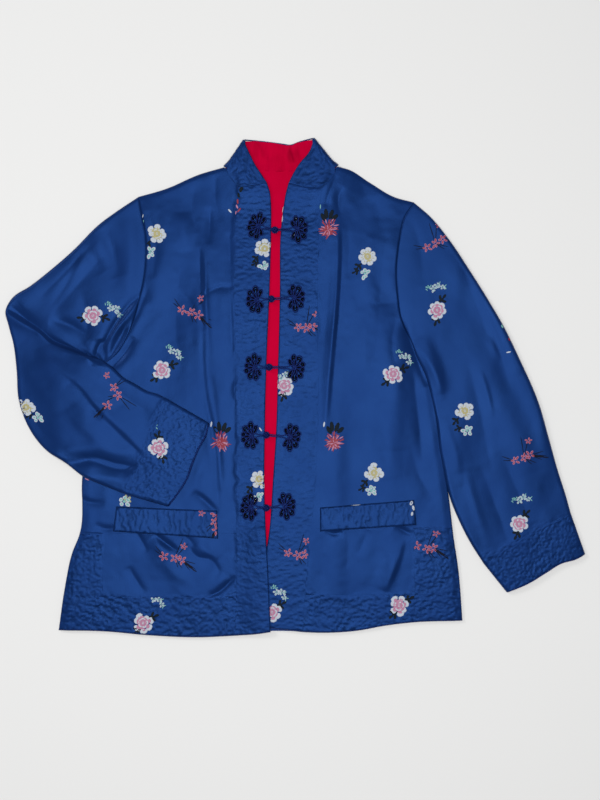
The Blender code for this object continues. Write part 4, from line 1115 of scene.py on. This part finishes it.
def collar_strip(front_height, back_height):
    """The collar's middle surface: u runs round the neck, and v from the neck seam to the top edge."""
    radius, middle = (front_height - back_height) / 2, (front_height + back_height) / 2
    drawn = (COLLAR_FRONT_MIDDLE - COLLAR_BACK_MIDDLE + COLLAR_WALL) / 2

    def side_parts(neck_seam, neck_edge, front_end, sign):
        fold_low, fold_high = neck_seam.at(0), neck_edge.at(0)
        run = (fold_high - fold_low) / np.hypot(*(fold_high - fold_low))
        outward = np.array([-run[1], run[0]]) * sign
        fold = Edge([fold_low + drawn * (FOLD_RISE * run - outward), fold_high - drawn * outward])
        bottom = Edge([neck_seam.at(1), neck_seam.at(0.6), neck_seam.at(0.25), fold.at(0)])
        top = Edge(np.concatenate([neck_edge.points[::-1][:-4], [fold.at(1)]]), smooth=False)
        return patch(bottom, top, front_end, fold), fold, outward

    right_edge, left_edge = Edge(RIGHT_NECK_EDGE), Edge(LEFT_NECK_EDGE)
    right_part, right_fold, right_out = side_parts(right_neck_seam, right_edge, right_band_top, 1)
    left_part, left_fold, left_out = side_parts(left_neck_seam, left_edge, left_band_top, -1)
    back_bottom = Edge([right_fold.at(0), *BACK_NECK_SEAM[1:-1], left_fold.at(0)])
    back_top = Edge([right_fold.at(1), *BACK_COLLAR_TOP[1:-1], left_fold.at(1)])
    back_part = patch(right_fold, left_fold, back_bottom, back_top)

    def point(u, v):
        stage = np.minimum(4, (u * 5).astype(int))
        share = u * 5 - stage
        v = (COLLAR_SEAM_GAP + v * (COLLAR_DEPTH - COLLAR_SEAM_GAP)) / COLLAR_DEPTH
        turn = math.pi * np.where(stage == 1, 0.5 - share, share - 0.5)
        out_step, rise = radius * np.cos(turn)[:, None], middle + radius * np.sin(turn)
        parts = [right_part(v, share), right_fold.at(v) + right_out * out_step, back_part(share, v),
                 left_fold.at(v) + left_out * out_step, left_part(v, 1 - share)]
        spots = np.choose(stage[:, None], parts)
        front, back = front_height + 0 * u, back_height + 0 * u
        heights = np.choose(stage, [front, rise, back, rise, front])
        return spots[:, 0], spots[:, 1], heights

    return point


def make_collar_layer(node, front_height, back_height, wall, materials, quilted_outside):
    """One layer of the collar, moved outwards from its middle surface by half its wall."""
    columns = np.array([(stage + k / count) / 5 for stage, count in enumerate(COLLAR_STAGES)
                        for k in range(count)] + [1.0])
    mesh, u, v, weave, quilted = unit_grid(columns, spaced(COLLAR_DEPTH, 1.5))
    x, y, z = collar_strip(front_height, back_height)(u, v)
    for vert, *spot in zip(mesh.verts, x + PAGE_SHIFT[0], y + PAGE_SHIFT[1], z):
        vert.co = [value * MM for value in spot]
    mesh.normal_update()
    front_faces = [face for face in mesh.faces if face.calc_center_median().z > SEEN_ABOVE * MM]
    if sum(face.normal.z for face in front_faces) < 0:
        bmesh.ops.reverse_faces(mesh, faces=mesh.faces)
        mesh.normal_update()
    seen = np.where(z > SEEN_ABOVE, 1.0, 0.0)
    if quilted_outside:
        shade = quilting(u * COLLAR_AROUND, v * COLLAR_DEPTH, BAND_QUILT)
        relief = shade * QUILT_RELIEF + 0.2 * crumple(x, y, 24, 41)
        relief = seen * (relief - turned_edge((1 - v) * COLLAR_DEPTH, 0.4, 1.2))
        flush = front_surface(x, y, BAND_QUILT)[0] - (z + wall / 2 + relief)
        relief = relief + seen * flush * np.exp(-((neck_distance(x, y) / 9) ** 2))
    else:
        wrinkles = 0.4 * crumple(x, 0.35 * y, 7.0, 81) + 0.3 * crumple(x, y, 12.0, 82)
        wrinkles = wrinkles + creases(x, y, LINING_CREASES)
        relief = (1 - seen) * wrinkles
        # Painted shade: darker in the lining's wrinkle valleys and along its neck seam
        seam_shade = 0.5 * np.exp(-((v * COLLAR_DEPTH / 1.4) ** 2))
        shade = np.clip(1 + 0.9 * wrinkles - seam_shade, 0.1, 1)
    normals = [vert.normal.copy() for vert in mesh.verts]
    for vert, normal, reach, rise, along, across in zip(mesh.verts, normals, wall / 2 + relief, shade, u, v):
        vert.co = vert.co + normal * float(reach) * MM
        vert[quilted] = float(rise)
        for loop in vert.link_loops:
            loop[weave].uv = (along * COLLAR_AROUND * MM, across * COLLAR_DEPTH * MM)
    area = sum(face.calc_area() for face in mesh.faces)
    obj = cloth_object("cloth_" + node, mesh, wall, materials)
    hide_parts(node)
    print(obj.name, len(obj.data.vertices), "points")


make_collar_layer("collar", COLLAR_FRONT_MIDDLE, COLLAR_BACK_MIDDLE, COLLAR_WALL - 0.3,
                  [blue_satin, red_satin], True)
make_collar_layer("collar_lining", LINING_FRONT_MIDDLE, LINING_BACK_MIDDLE, 0.9,
                  [red_satin, red_satin], False)

# %% [markdown]
# ## Pocket welts
# A welt is a narrow quilted strip that closes a pocket's mouth. Both lie on the front, over the seam
# between the front and the pocket panel, and stand a little proud of it.

# %% Welts
# Corners: top inner, top outer, bottom inner, bottom outer
RIGHT_WELT = [(-110, -174), (-251, -168), (-108.5, -213), (-255.5, -203)]
LEFT_WELT = [(34.3, -169.4), (166, -159), (34.3, -203), (169.4, -194)]
WELT_WALL = 2.2
WELT_ROLL = (1.8, 2.6)


def welt_surface(x, y):
    """The face of a welt, which lies on the front, and its quilting, which paints shade into its rows of
    stitches.
    """
    puff = quilting(x, y, WELT_QUILT)
    padding = QUILT_RELIEF * puff + 0.3 * crumple(x, y, 24, 41)
    return front_top(x, y) + REST_GAP + WELT_WALL + padding, puff


for side, (top_inner, top_outer, bottom_inner, bottom_outer) in (("right", RIGHT_WELT), ("left", LEFT_WELT)):
    panel(f"welt_{side}", Edge([top_inner, bottom_inner]), Edge([top_outer, bottom_outer]),
          Edge([top_inner, top_outer]), Edge([bottom_inner, bottom_outer]), QUILT_STEP,
          welt_surface, [WELT_ROLL] * 4, WELT_WALL - REST_GAP, [blue_satin, blue_satin], "quilted_satin")

# %% [markdown]
# ## Frog fastenings
# A frog is satin cord, bent into open petals and sewn down flat, with a two-cord stem. The right half
# ends in a knotted ball, and the left half in a loop round that ball. A curve with a round bevel makes
# such a cord quickly. Each petal is a drop-shaped loop, and a small wave in its height takes it over its
# neighbour. Near-black cords fill the middles of the petals, so that the loops stand out against them:
# partly darker cord, and partly painted shade for the shadow between the raised loops.

# %% Frogs
# Frogs: right rosette x, y, button x, y, left rosette x, y
FROGS = [
    (-55, 225, -29, 219, 5, 220.5),
    (-57, 121, -34, 122.5, 1, 124),
    (-59.5, 27, -37, 27, 1, 26),
    (-64, -69, -41, -68, -5, -71),
    (-65, -169, -41, -170, -12, -167),
]
CORD_RADIUS = 0.78
FILL_RADIUS = 0.9
BUTTON_RADIUS = 3.2
KNOT_CORD_RADIUS = 1.25
EYE_RADIUS = BUTTON_RADIUS + 1.1
# Petals of a rosette: angle from the stem in degrees, length, width
FROG_PETALS = [
    (60, 16.0, 8.0), (92, 20.0, 10.0), (128, 17.4, 11.0), (168, 14.0, 10.4), (204, 15.6, 10.0),
    (244, 18.4, 11.4), (276, 19.0, 9.0), (306, 14.0, 7.6),
]
ROSETTE_SHIFT = 2.4


def cords_to_mesh(name, paths, material, radius, replaced=()):
    """Round cords along paths of (x, y, z) in mm, as one mesh object."""
    curve = bpy.data.curves.new(name, "CURVE")
    curve.dimensions = "3D"
    curve.bevel_depth = radius * MM
    curve.bevel_resolution = 2
    curve.use_fill_caps = True
    for points, closed in paths:
        spline = curve.splines.new("POLY")
        spline.points.add(len(points) - 1)
        spline.use_cyclic_u = closed
        for target, (x, y, z) in zip(spline.points, points):
            target.co = ((x + PAGE_SHIFT[0]) * MM, (y + PAGE_SHIFT[1]) * MM, z * MM, 1.0)
    shaped = bpy.data.objects.new(name + "_curve", curve)
    bpy.context.scene.collection.objects.link(shaped)
    data = bpy.data.meshes.new_from_object(shaped.evaluated_get(bpy.context.evaluated_depsgraph_get()))
    bpy.data.objects.remove(shaped)
    data.name = name
    data.materials.clear()
    data.shade_smooth()
    obj = add_object(name, data, [material])
    if replaced:
        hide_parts(*replaced)
    return obj


def frog_level(x, y):
    """The height at which a cord's middle lies on the quilted bands."""
    return front_top(x, y) + overlap_lift(x, y) + QUILT_RISE + CORD_RADIUS


def petal_loop(angle, length, width, grow, height):
    """A drop-shaped loop of cord that starts and ends at the rosette's heart."""
    t = np.linspace(0, 2 * math.pi, 34, endpoint=False)
    along = length / 2 * (1 - np.cos(t)) * grow + length * (1 - grow) * 0.55
    across = width / 2 * grow * np.sin(t) * (0.55 + 0.45 * np.sin(t / 2) ** 2)
    cos, sin = math.cos(angle), math.sin(angle)
    z = height + 0.5 * np.sin(2 * t)
    return np.column_stack([ROSETTE_SHIFT + along * cos - across * sin, along * sin + across * cos, z])


def half_frog(reach, has_eye):
    """The cords of one half, with the button at (reach, 0), and the cords that fill its petals."""
    outlines, fills = [], []
    for degrees, length, width in FROG_PETALS:
        angle = math.radians(degrees)
        outlines.append((petal_loop(angle, length, width, 1.0, 0.8), True))
        # Near-black fills: darker cord, and painted shade between the raised loops of the petal
        fills += [(petal_loop(angle, length, width, grow, -0.5), True) for grow in (0.72, 0.4)]
    ring = np.linspace(0, 2 * math.pi, 22, endpoint=False)
    heart = np.column_stack([ROSETTE_SHIFT + 2.2 * np.cos(ring), 2.2 * np.sin(ring), 1.8 + 0 * ring])
    outlines.append((heart, True))
    end = reach - (BUTTON_RADIUS + 1.6) if has_eye else reach - 1.5
    along = np.linspace(ROSETTE_SHIFT, end, 24)
    spread = 1.05 + 2.2 * np.exp(-(((along - ROSETTE_SHIFT - 4.0) / 4.0) ** 2))
    stem = np.column_stack([along, spread, 0.9 + 0 * along])
    other = stem * np.array([1, -1, 1])
    if has_eye:
        angles = np.radians(np.linspace(155, -155, 27))
        eye = np.column_stack([reach + EYE_RADIUS * np.cos(angles), EYE_RADIUS * np.sin(angles),
                               0.4 + 0 * angles])
        outlines.append((np.concatenate([stem, eye, other[::-1]]), False))
    else:
        outlines += [(stem, False), (other, False)]
    return outlines, fills


def knot_button(x, y, z):
    """A ball knot: one cord that winds round a ball three times while it swings up and down four times."""
    t = np.linspace(0, 2 * math.pi, 150, endpoint=False)
    latitude, longitude = 1.12 * np.sin(4 * t), 3 * t
    radius = BUTTON_RADIUS + 0.45 * np.cos(12 * t)
    return [(np.column_stack([
        x + radius * np.cos(latitude) * np.cos(longitude),
        y + radius * np.cos(latitude) * np.sin(longitude),
        z + 0.85 * radius * np.sin(latitude),
    ]), True)]


for number, (right_x, right_y, button_x, button_y, left_x, left_y) in enumerate(FROGS, start=1):
    for side, x, y, has_eye in (("right", right_x, right_y, False), ("left", left_x, left_y, True)):
        reach = math.hypot(button_x - x, button_y - y)
        aim = np.array([button_x - x, button_y - y]) / reach
        outlines, fills = half_frog(reach, has_eye)
        for name, paths, material, radius in (("cord", outlines, navy_cord, CORD_RADIUS),
                                              ("fill", fills, dark_cord_and_shadow, FILL_RADIUS)):
            placed = []
            for points, closed in paths:
                page_x = x + points[:, 0] * aim[0] - points[:, 1] * aim[1]
                page_y = y + points[:, 0] * aim[1] + points[:, 1] * aim[0]
                page_z = frog_level(page_x, page_y) + points[:, 2] + (radius - CORD_RADIUS)
                placed.append((np.column_stack([page_x, page_y, page_z]), closed))
            cords_to_mesh(f"frog_{name}_{side}_{number}", placed, material, radius, [f"frog_{side}_{number}"])
    level = float(frog_level(np.array([button_x]), np.array([button_y]))[0]) + 0.8
    knot = cords_to_mesh(f"knot_button_{number}", knot_button(button_x, button_y, level), navy_cord,
                         KNOT_CORD_RADIUS, [f"button_{number}"])
print("frogs:", len(FROGS), "knot:", len(knot.data.vertices), "points")

# %% [markdown]
# ## Piping at the hem and cuffs
# A thin dark piping closes the hem, the cuffs and the collar's top. It is a cord again, laid along the
# same edges.

# %% Piping
PIPING_RADIUS = 0.8
PIPING_DROP = 1.5
PIPING_STEP = 3.0
COLLAR_PIPING_HEIGHT = 2.6


def piping(name, points, closed=False):
    cords_to_mesh(name, [(points, closed)], navy_cord, PIPING_RADIUS)


for side, band_hem, hem in (("right", RIGHT_BAND_HEM, RIGHT_HEM), ("left", LEFT_BAND_HEM, LEFT_HEM)):
    edge = Edge(band_hem).joined(Edge(hem))
    x, y = edge.at(np.linspace(0, 1, max(8, round(edge.length / PIPING_STEP)))).T
    lift = overlap_lift(x, y) if side == "right" else 0.0
    piping(f"hem_piping_{side}", np.column_stack([x, y, front_top(x, y) - PIPING_DROP + lift]))
spots = Edge(BACK_COLLAR_TOP).at(np.linspace(0.02, 0.98, 40))
piping("collar_piping", np.column_stack([spots, np.full(40, COLLAR_PIPING_HEIGHT)]))
for side, end in (("right", Edge(RIGHT_CUFF_END)), ("left", Edge(LEFT_CUFF_END))):
    x, y = end.at(np.linspace(0.01, 0.99, 50)).T
    middle = (on_right_front(x, y) if side == "right" else 0 * x) + CUFF_HEIGHT / 2
    ends = np.sqrt(1 - np.linspace(-1, 1, 50) ** 8)
    upper = np.column_stack([x, y, middle + (CUFF_HEIGHT / 2 - 0.6) * ends])
    lower = np.column_stack([x, y, middle - (CUFF_HEIGHT / 2 - 0.9) * ends])
    piping(f"cuff_piping_{side}", np.concatenate([upper, lower[::-1]]), closed=True)

# %% [markdown]
# ## Woven flowers
# The satin is brocaded: extra coloured threads float on its face where the flowers are. Each float is a
# small flat petal, a low cone that is laid on the cloth below it. Rays from above find the cloth's
# height, so a petal follows the creases. A petal that would cross a seam is drawn in towards its
# middle, as a cut motif ends at the seam. Peonies, orchids, chrysanthemums and small blossoms are built
# from the same petal, each on its own simple plan and a little uneven.

# %% Flowers
FLOAT_RISE, FLOAT_SINK = 0.28, 0.25
PETAL_SIDES, PETAL_TOP = 8, 0.72
RAY_START = 0.05
ACROSS = 1.57
# The mesh of floats on each piece of cloth
homes = {}


def cloth_under(x, y):
    """The uppermost piece of cloth at a place on the page, and its height in mm."""
    best, best_height = None, -1.0
    start = ((x + PAGE_SHIFT[0]) * MM, (y + PAGE_SHIFT[1]) * MM, RAY_START)
    for name, surface in surfaces.items():
        spot = surface.ray_cast(start, (0, 0, -1))[0]
        if spot is not None and spot.z / MM > best_height:
            best, best_height = name, spot.z / MM
    return best, best_height


def moved(x, y, turn, along, aside=0.0):
    """A place moved along a direction, and to its left."""
    cos, sin = math.cos(turn), math.sin(turn)
    return x + along * cos - aside * sin, y + along * sin + aside * cos


def add_petal(home, x, y, turn, length, width, colour, raised=0.0):
    """One woven float, centred at x, y, longer along its turn, on its home piece of cloth."""
    if home is None or cloth_under(x, y)[0] != home:
        return
    mesh = homes.setdefault(home, bmesh.new())
    made = bmesh.ops.create_cone(mesh, cap_ends=True, segments=PETAL_SIDES, radius1=1,
                                 radius2=PETAL_TOP, depth=1)
    for vert in made["verts"]:
        offset_x, offset_y = moved(0, 0, turn, vert.co.x * length / 2, vert.co.y * width / 2)
        share = 1.0
        name, height = cloth_under(x + offset_x, y + offset_y)
        while name != home and share > 0:
            share = max(0.0, share - 0.15)
            name, height = cloth_under(x + share * offset_x, y + share * offset_y)
        rise = height - FLOAT_SINK + (vert.co.z + 0.5) * (FLOAT_SINK + FLOAT_RISE + raised)
        vert.co = ((x + share * offset_x + PAGE_SHIFT[0]) * MM,
                   (y + share * offset_y + PAGE_SHIFT[1]) * MM, rise * MM)
    index = list(FLOSS).index(colour)
    for face in {face for vert in made["verts"] for face in vert.link_faces}:
        face.material_index = index


def fixed_change(x, y, k):
    """A small difference from -1 to 1 that is the same at each run."""
    return float(lattice(np.int64(k * 7 + round(x)), np.int64(round(y) + k), 61))


def leaves(home, x, y, turn, size):
    """Four dark leaves on one stalk."""
    for away, bend, length in ((1.0, 0.0, 12.0), (5.0, 1.0, 9.5), (5.5, -0.9, 9.0), (9.0, 0.15, 9.0)):
        spot = moved(x, y, turn + bend, away * size)
        add_petal(home, *spot, turn + bend, length * size, 5.0 * size, "green")


def peony(x, y, rim, heart, turn, size):
    """A full flower: a disc of the heart's colour, then two rings of pale petals that overlap."""
    home = cloth_under(x, y)[0]
    add_petal(home, x, y, turn, 19 * size, 17 * size, heart)
    for k in range(7):
        vary = fixed_change(x, y, k)
        angle = turn + 2 * math.pi * k / 7 + 0.16 * vary
        out, high = (8.8 + 1.6 * vary) * size, 0.03 + 0.03 * (k % 2)
        long = (9.4 + 1.6 * vary) * size
        add_petal(home, *moved(x, y, angle, out), angle + ACROSS, long, 7.6 * size, rim, high)
        bend, long, wide = (ACROSS, 6.6, 4.4) if heart == "pink" else (0.3, 6.0, 1.2)
        spot = moved(x, y, angle, out - 1.7 * size)
        add_petal(home, *spot, angle + bend, long * size, wide * size, heart, high + 0.08)
    for k in range(5):
        angle = turn + 0.5 + 2 * math.pi * k / 5 + 0.25 * fixed_change(y, x, k)
        out, high = 4.5 * size, 0.13 + 0.03 * (k % 2)
        add_petal(home, *moved(x, y, angle, out), angle + ACROSS, 7.0 * size, 5.0 * size, rim, high)
        spot = moved(x, y, angle, out - 1.1 * size)
        add_petal(home, *spot, angle + ACROSS, 5.4 * size, 3.6 * size, heart, high + 0.08)
    add_petal(home, x, y, turn, 4.4 * size, 3.4 * size, rim, 0.22)
    add_petal(home, x, y, turn + 0.6, 2.8 * size, 2.0 * size, heart, 0.28)
    return home


def small_blossom(home, x, y, size, rim="white"):
    """Five short petals with mint middles round a mint heart, and slightly uneven."""
    for k in range(5):
        vary = fixed_change(x, y, k)
        angle = 0.4 + 2 * math.pi * k / 5 + 0.35 * vary
        spot = moved(x, y, angle, 0.3 * size * (1 + 0.21 * vary))
        long, wide = 0.42 * size * (1 + 0.35 * vary), 0.36 * size
        add_petal(home, *spot, angle, long, wide, rim)
        add_petal(home, *spot, angle, long * 0.62, wide * 0.56, "mint", 0.07)
    add_petal(home, x, y, 0.3, 0.26 * size, 0.22 * size, "mint", 0.1)


def sprig(home, x, y, turn):
    """A chain of small blossoms on a bent stalk with curled ends."""
    for along, aside, size in ((-11, 3.5, 6.5), (-4.5, -1.0, 10.0), (2.5, 2.0, 10.5), (8.5, -2.5, 8.5)):
        small_blossom(home, *moved(x, y, turn, along, aside), size, "white" if size > 8 else "mint")
    for along, aside, bend in ((-14, 0.5, 2.2), (-7, 4.0, 0.8), (6.5, 4.5, 0.9), (13, -1.5, 0.4),
                               (12, -5.0, 2.0)):
        add_petal(home, *moved(x, y, turn, along, aside), turn + bend, 5.0, 1.5, "mint")


def orchid(home, x, y, start, size):
    """A small open flower of five narrow red petals with pale rims."""
    for k in range(5):
        vary = fixed_change(x, y, k)
        angle = start + 2 * math.pi * k / 5 + 0.25 * vary
        spot = moved(x, y, angle, (4.2 + 0.8 * vary) * size)
        add_petal(home, *spot, angle, (7.2 + vary) * size, 4.0 * size, "pink")
        add_petal(home, *spot, angle, (5.8 + vary) * size, 2.7 * size, "red", 0.08)


def needles(home, x, y, turn, lengths, spread):
    """Thin dark branches that fan out from one place."""
    for k, length in enumerate(lengths):
        bend = turn + spread * (k - (len(lengths) - 1) / 2)
        add_petal(home, *moved(x, y, bend, 0.5 * length), bend, length, 1.4, "branch")


def chrysanthemum(home, x, y):
    """A ragged flower of many narrow petals in three rings, the outer ones longest above."""
    add_petal(home, x, y - 5, ACROSS, 19, 15, "red")
    for count, start, reach, width, high in ((30, 0.0, 10.0, 2.0, 0.05), (22, 0.15, 6.4, 1.8, 0.1),
                                             (12, 0.4, 2.6, 1.5, 0.15)):
        for k in range(count):
            vary, bend = fixed_change(y, x, k + count), 0.5 * fixed_change(x, y, k)
            turn = start + 2 * math.pi * k / count + 0.4 * bend
            out = reach * (1 + 0.3 * vary + 0.25 * math.sin(turn))
            spot_x, spot_y = x + 0.9 * out * math.cos(turn), y - 5 + out * math.sin(turn)
            colour = ("pink", "red", "red")[k % 3]
            add_petal(home, spot_x, spot_y, turn + bend, 8 + 3 * vary, width, colour, high)


# White flowers: flower x, y, small blossom x, y
WHITE_PEONIES = [
    (-194, 214, -204, 188), (-43, 193, -44, 169), (101, 182, 97, 158), (-377, -29, -360, -44),
    (237, -34, 240, -62), (-51, -129.5, -52.5, -155), (110, -121, 106, -146),
]
# Pink flowers: flower x, y, sprig x, y
PINK_PEONIES = [
    (-283.5, 99, -254, 108), (-187, 23, -169, 48), (198, 107, 197, 139), (136.5, 17.5, 153, 41),
    (-191, -86, -206.5, -57), (313, -192.5, 317, -157.5), (-213.5, -331, -194, -299),
    (145, -307, 160, -278), (-33, -316, -22, -289), (-16, 1, -16, 14),
]
# Orchid sprays: first, second and third flower, and the one apart, as x, y
ORCHIDS = [
    (-253, -1, -248, -12, -262, -26, -263, 15), (-159, 107, -147, 104, -136, 100, -133, 123),
    (184, 194, 196, 200, 206, 206, 201, 226), (-184, -238, -169, -240, -159, -243, -156, -224),
    (170, -223, 184, -227, 193, -226, 197, -206), (-10, -233, 3, -236, 13, -235, 15, -217),
    (4, 83, 15, 82, 24, 84, 29, 101), (307, -104, 320, -100, 328, -96, 326, -76),
    (-112, -178, -113, -190, -111, -201, -131, -177),
]
CHRYSANTHEMUMS = [(46, 224), (-104, -74), (54, -74)]

for x, y, small_x, small_y in WHITE_PEONIES:
    home = peony(x, y, "white", "yellow", -1.2, 1.1)
    small_blossom(home, small_x, small_y, 17.0)
    small_blossom(home, small_x + 2, small_y + 2, 10.0)
    leaves(home, x - 11, y - 12, 3.9, 0.8)
    leaves(home, small_x - 10, small_y + 4, 3.4, 0.7)
for x, y, small_x, small_y in PINK_PEONIES:
    home = peony(x, y, "white", "pink", math.atan2(y - small_y, x - small_x) + 0.5, 1.14)
    sprig(home, small_x, small_y, -0.5 if small_x > x + 5 else 0.3)
    aim = math.atan2(small_y - y, small_x - x)
    leaves(home, *moved(x, y, aim - 0.4, 14), aim - 0.9, 0.9)
    leaves(home, *moved(x, y, aim, -12), aim + 2.6, 0.9)
for number, row in enumerate(ORCHIDS):
    flowers = list(zip(row[::2], row[1::2]))
    first, second, third = flowers[:3]
    home = cloth_under(*first)[0]
    aim = math.atan2(third[1] - first[1], third[0] - first[0])
    for spot, bend, lengths, spread in ((third, -0.4, (20, 26, 22), 0.32), (second, -0.9, (16, 20), 0.3),
                                        (second, 1.2, (30, 34), 0.35), (first, 2.6, (22, 18), 0.3)):
        needles(home, *spot, aim + bend, lengths, spread)
    for along, width in ((8, 4.4), (15, 3.4), (22, 2.2)):
        add_petal(home, *moved(*third, aim - 0.5, along), aim - 0.4, 11, width, "branch")
    for k, spot in enumerate(flowers):
        orchid(home, *spot, 0.7 * k + number, 0.75 if k == 3 else 0.95)
for x, y in CHRYSANTHEMUMS:
    home = cloth_under(x, y)[0]
    for aside, up, turn, length in ((-7, 13, 2.1, 15), (-3, 18, 1.7, 17), (4, 17, 1.2, 17), (9, 13, 0.7, 14)):
        add_petal(home, x + aside, y + up, turn, length, 7.0, "green")
    chrysanthemum(home, x, y)
    add_petal(home, x - 14, y + 21, 1.4, 9, 3.0, "white")
# Parts of flowers at edges, seams, the frogs and the welts: x, y, turn, length, width, colour
FRAGMENTS = [
    (7, 314, 1.0, 16, 2.2, "white"), (13, 324, 1.0, 12, 2.2, "white"),
    (-17.5, 247, 1.45, 14, 2.0, "white"),
    (-18.5, 235, 1.5, 12, 2.0, "white"), (3, 233, 2.2, 9, 3.0, "white"), (-4, 212, 0.5, 8, 3.0, "white"),
    (34, 251, 1.4, 10, 3.6, "mint"), (84.7, -165.5, 0.07, 16, 2.2, "white"),
    (162, -163, 1.2, 8, 5.0, "white"),
    (165, -170, 1.8, 9, 4.5, "white"), (163, -178, 1.4, 7, 4.0, "white"), (-214, 238, 1.3, 8, 2.0, "white"),
    (-213, 231, 1.5, 6, 2.0, "mint"), (-76, 276, 1.2, 11, 6.0, "green"), (-80, 268, 1.9, 9, 5.0, "green"),
    (-81, 259, 1.6, 9, 3.0, "red"), (-82, 252, 2.0, 8, 3.0, "pink"), (-79, 247, 0.9, 9, 3.0, "red"),
    (-84, 243, 1.2, 7, 2.6, "pink"), (-92, 246, 2.3, 8, 3.0, "white"), (289, 84, 2.0, 6, 3.0, "mint"),
    (299, 66, 2.0, 6, 3.0, "red"), (298, 48, 0.2, 8, 2.6, "white"), (-308, -120, 2.7, 8, 2.0, "white"),
    (-292, -130, 2.7, 8, 2.0, "pink"), (-300, -125, 2.6, 6, 2.0, "red"), (-57, -173, 0.6, 9, 3.0, "white"),
    (-49, -60, 2.2, 8, 2.6, "white"),
]
for x, y, turn, length, width, colour in FRAGMENTS:
    add_petal(cloth_under(x, y)[0], x, y, turn, length, width, colour)
home = cloth_under(-240, -161)[0]
small_blossom(home, -240, -161, 20.0)
small_blossom(home, -236, -158, 12.0, "yellow")

flower_count = 0
for home, mesh in homes.items():
    name = home.replace("cloth_", "flowers_")
    data = bpy.data.meshes.new(name)
    mesh.to_mesh(data)
    mesh.free()
    add_object(name, data, FLOSS.values())
    flower_count += len(data.polygons)
print("woven floats:", flower_count // (PETAL_SIDES + 2))

# %% [markdown]
# ## Floor and light
# The jacket lies on a plain pale floor. A large lamp hangs overhead and gives the satin its gleam. A
# smaller one stands at the upper left: low folds only show when some light comes from one side. A pale
# sky softens both.

# %% Floor and light
FLOOR_REACH, FLOOR_GAP = 6.0, 0.2 * MM

mesh = bmesh.new()
bmesh.ops.create_grid(mesh, x_segments=1, y_segments=1, size=FLOOR_REACH)
bmesh.ops.translate(mesh, vec=(0, 0, -FLOOR_GAP), verts=mesh.verts)
floor_data = bpy.data.meshes.new("floor")
mesh.to_mesh(floor_data)
mesh.free()
# Matt paint, so that the floor shows the jacket's soft shadow and no gleam of its own
paint, _, floor_shader = new_shader("painted floor")
floor_data.materials.append(paint)
floor_shader.inputs["Base Color"].default_value = linear_colour("#E4E3E0")
floor_shader.inputs["Roughness"].default_value = 0.85
floor = bpy.data.objects.new("floor", floor_data)
bpy.context.scene.collection.objects.link(floor)


def lamp(name, power, size, place):
    """A square area lamp that looks at the jacket's middle."""
    data = bpy.data.lights.new(name, "AREA")
    data.energy = power
    data.size = size
    obj = bpy.data.objects.new(name, data)
    obj.location = place
    length = math.sqrt(sum(value * value for value in place))
    obj.rotation_euler = (math.acos(place[2] / length), 0, math.atan2(place[1], place[0]) + math.pi / 2)
    bpy.context.scene.collection.objects.link(obj)


lamp("overhead lamp", 68, 1.6, (-0.06, -0.12, 2.9))
lamp("side lamp", 36, 1.0, (-2.6, 1.9, 2.2))
world = bpy.data.worlds.new("pale sky")
world.use_nodes = True
sky = world.node_tree.nodes["Background"]
sky.inputs["Color"].default_value = (0.86, 0.9, 1.0, 1.0)
sky.inputs["Strength"].default_value = 0.25
bpy.context.scene.world = world
bpy.context.scene.view_settings.view_transform = "Standard"
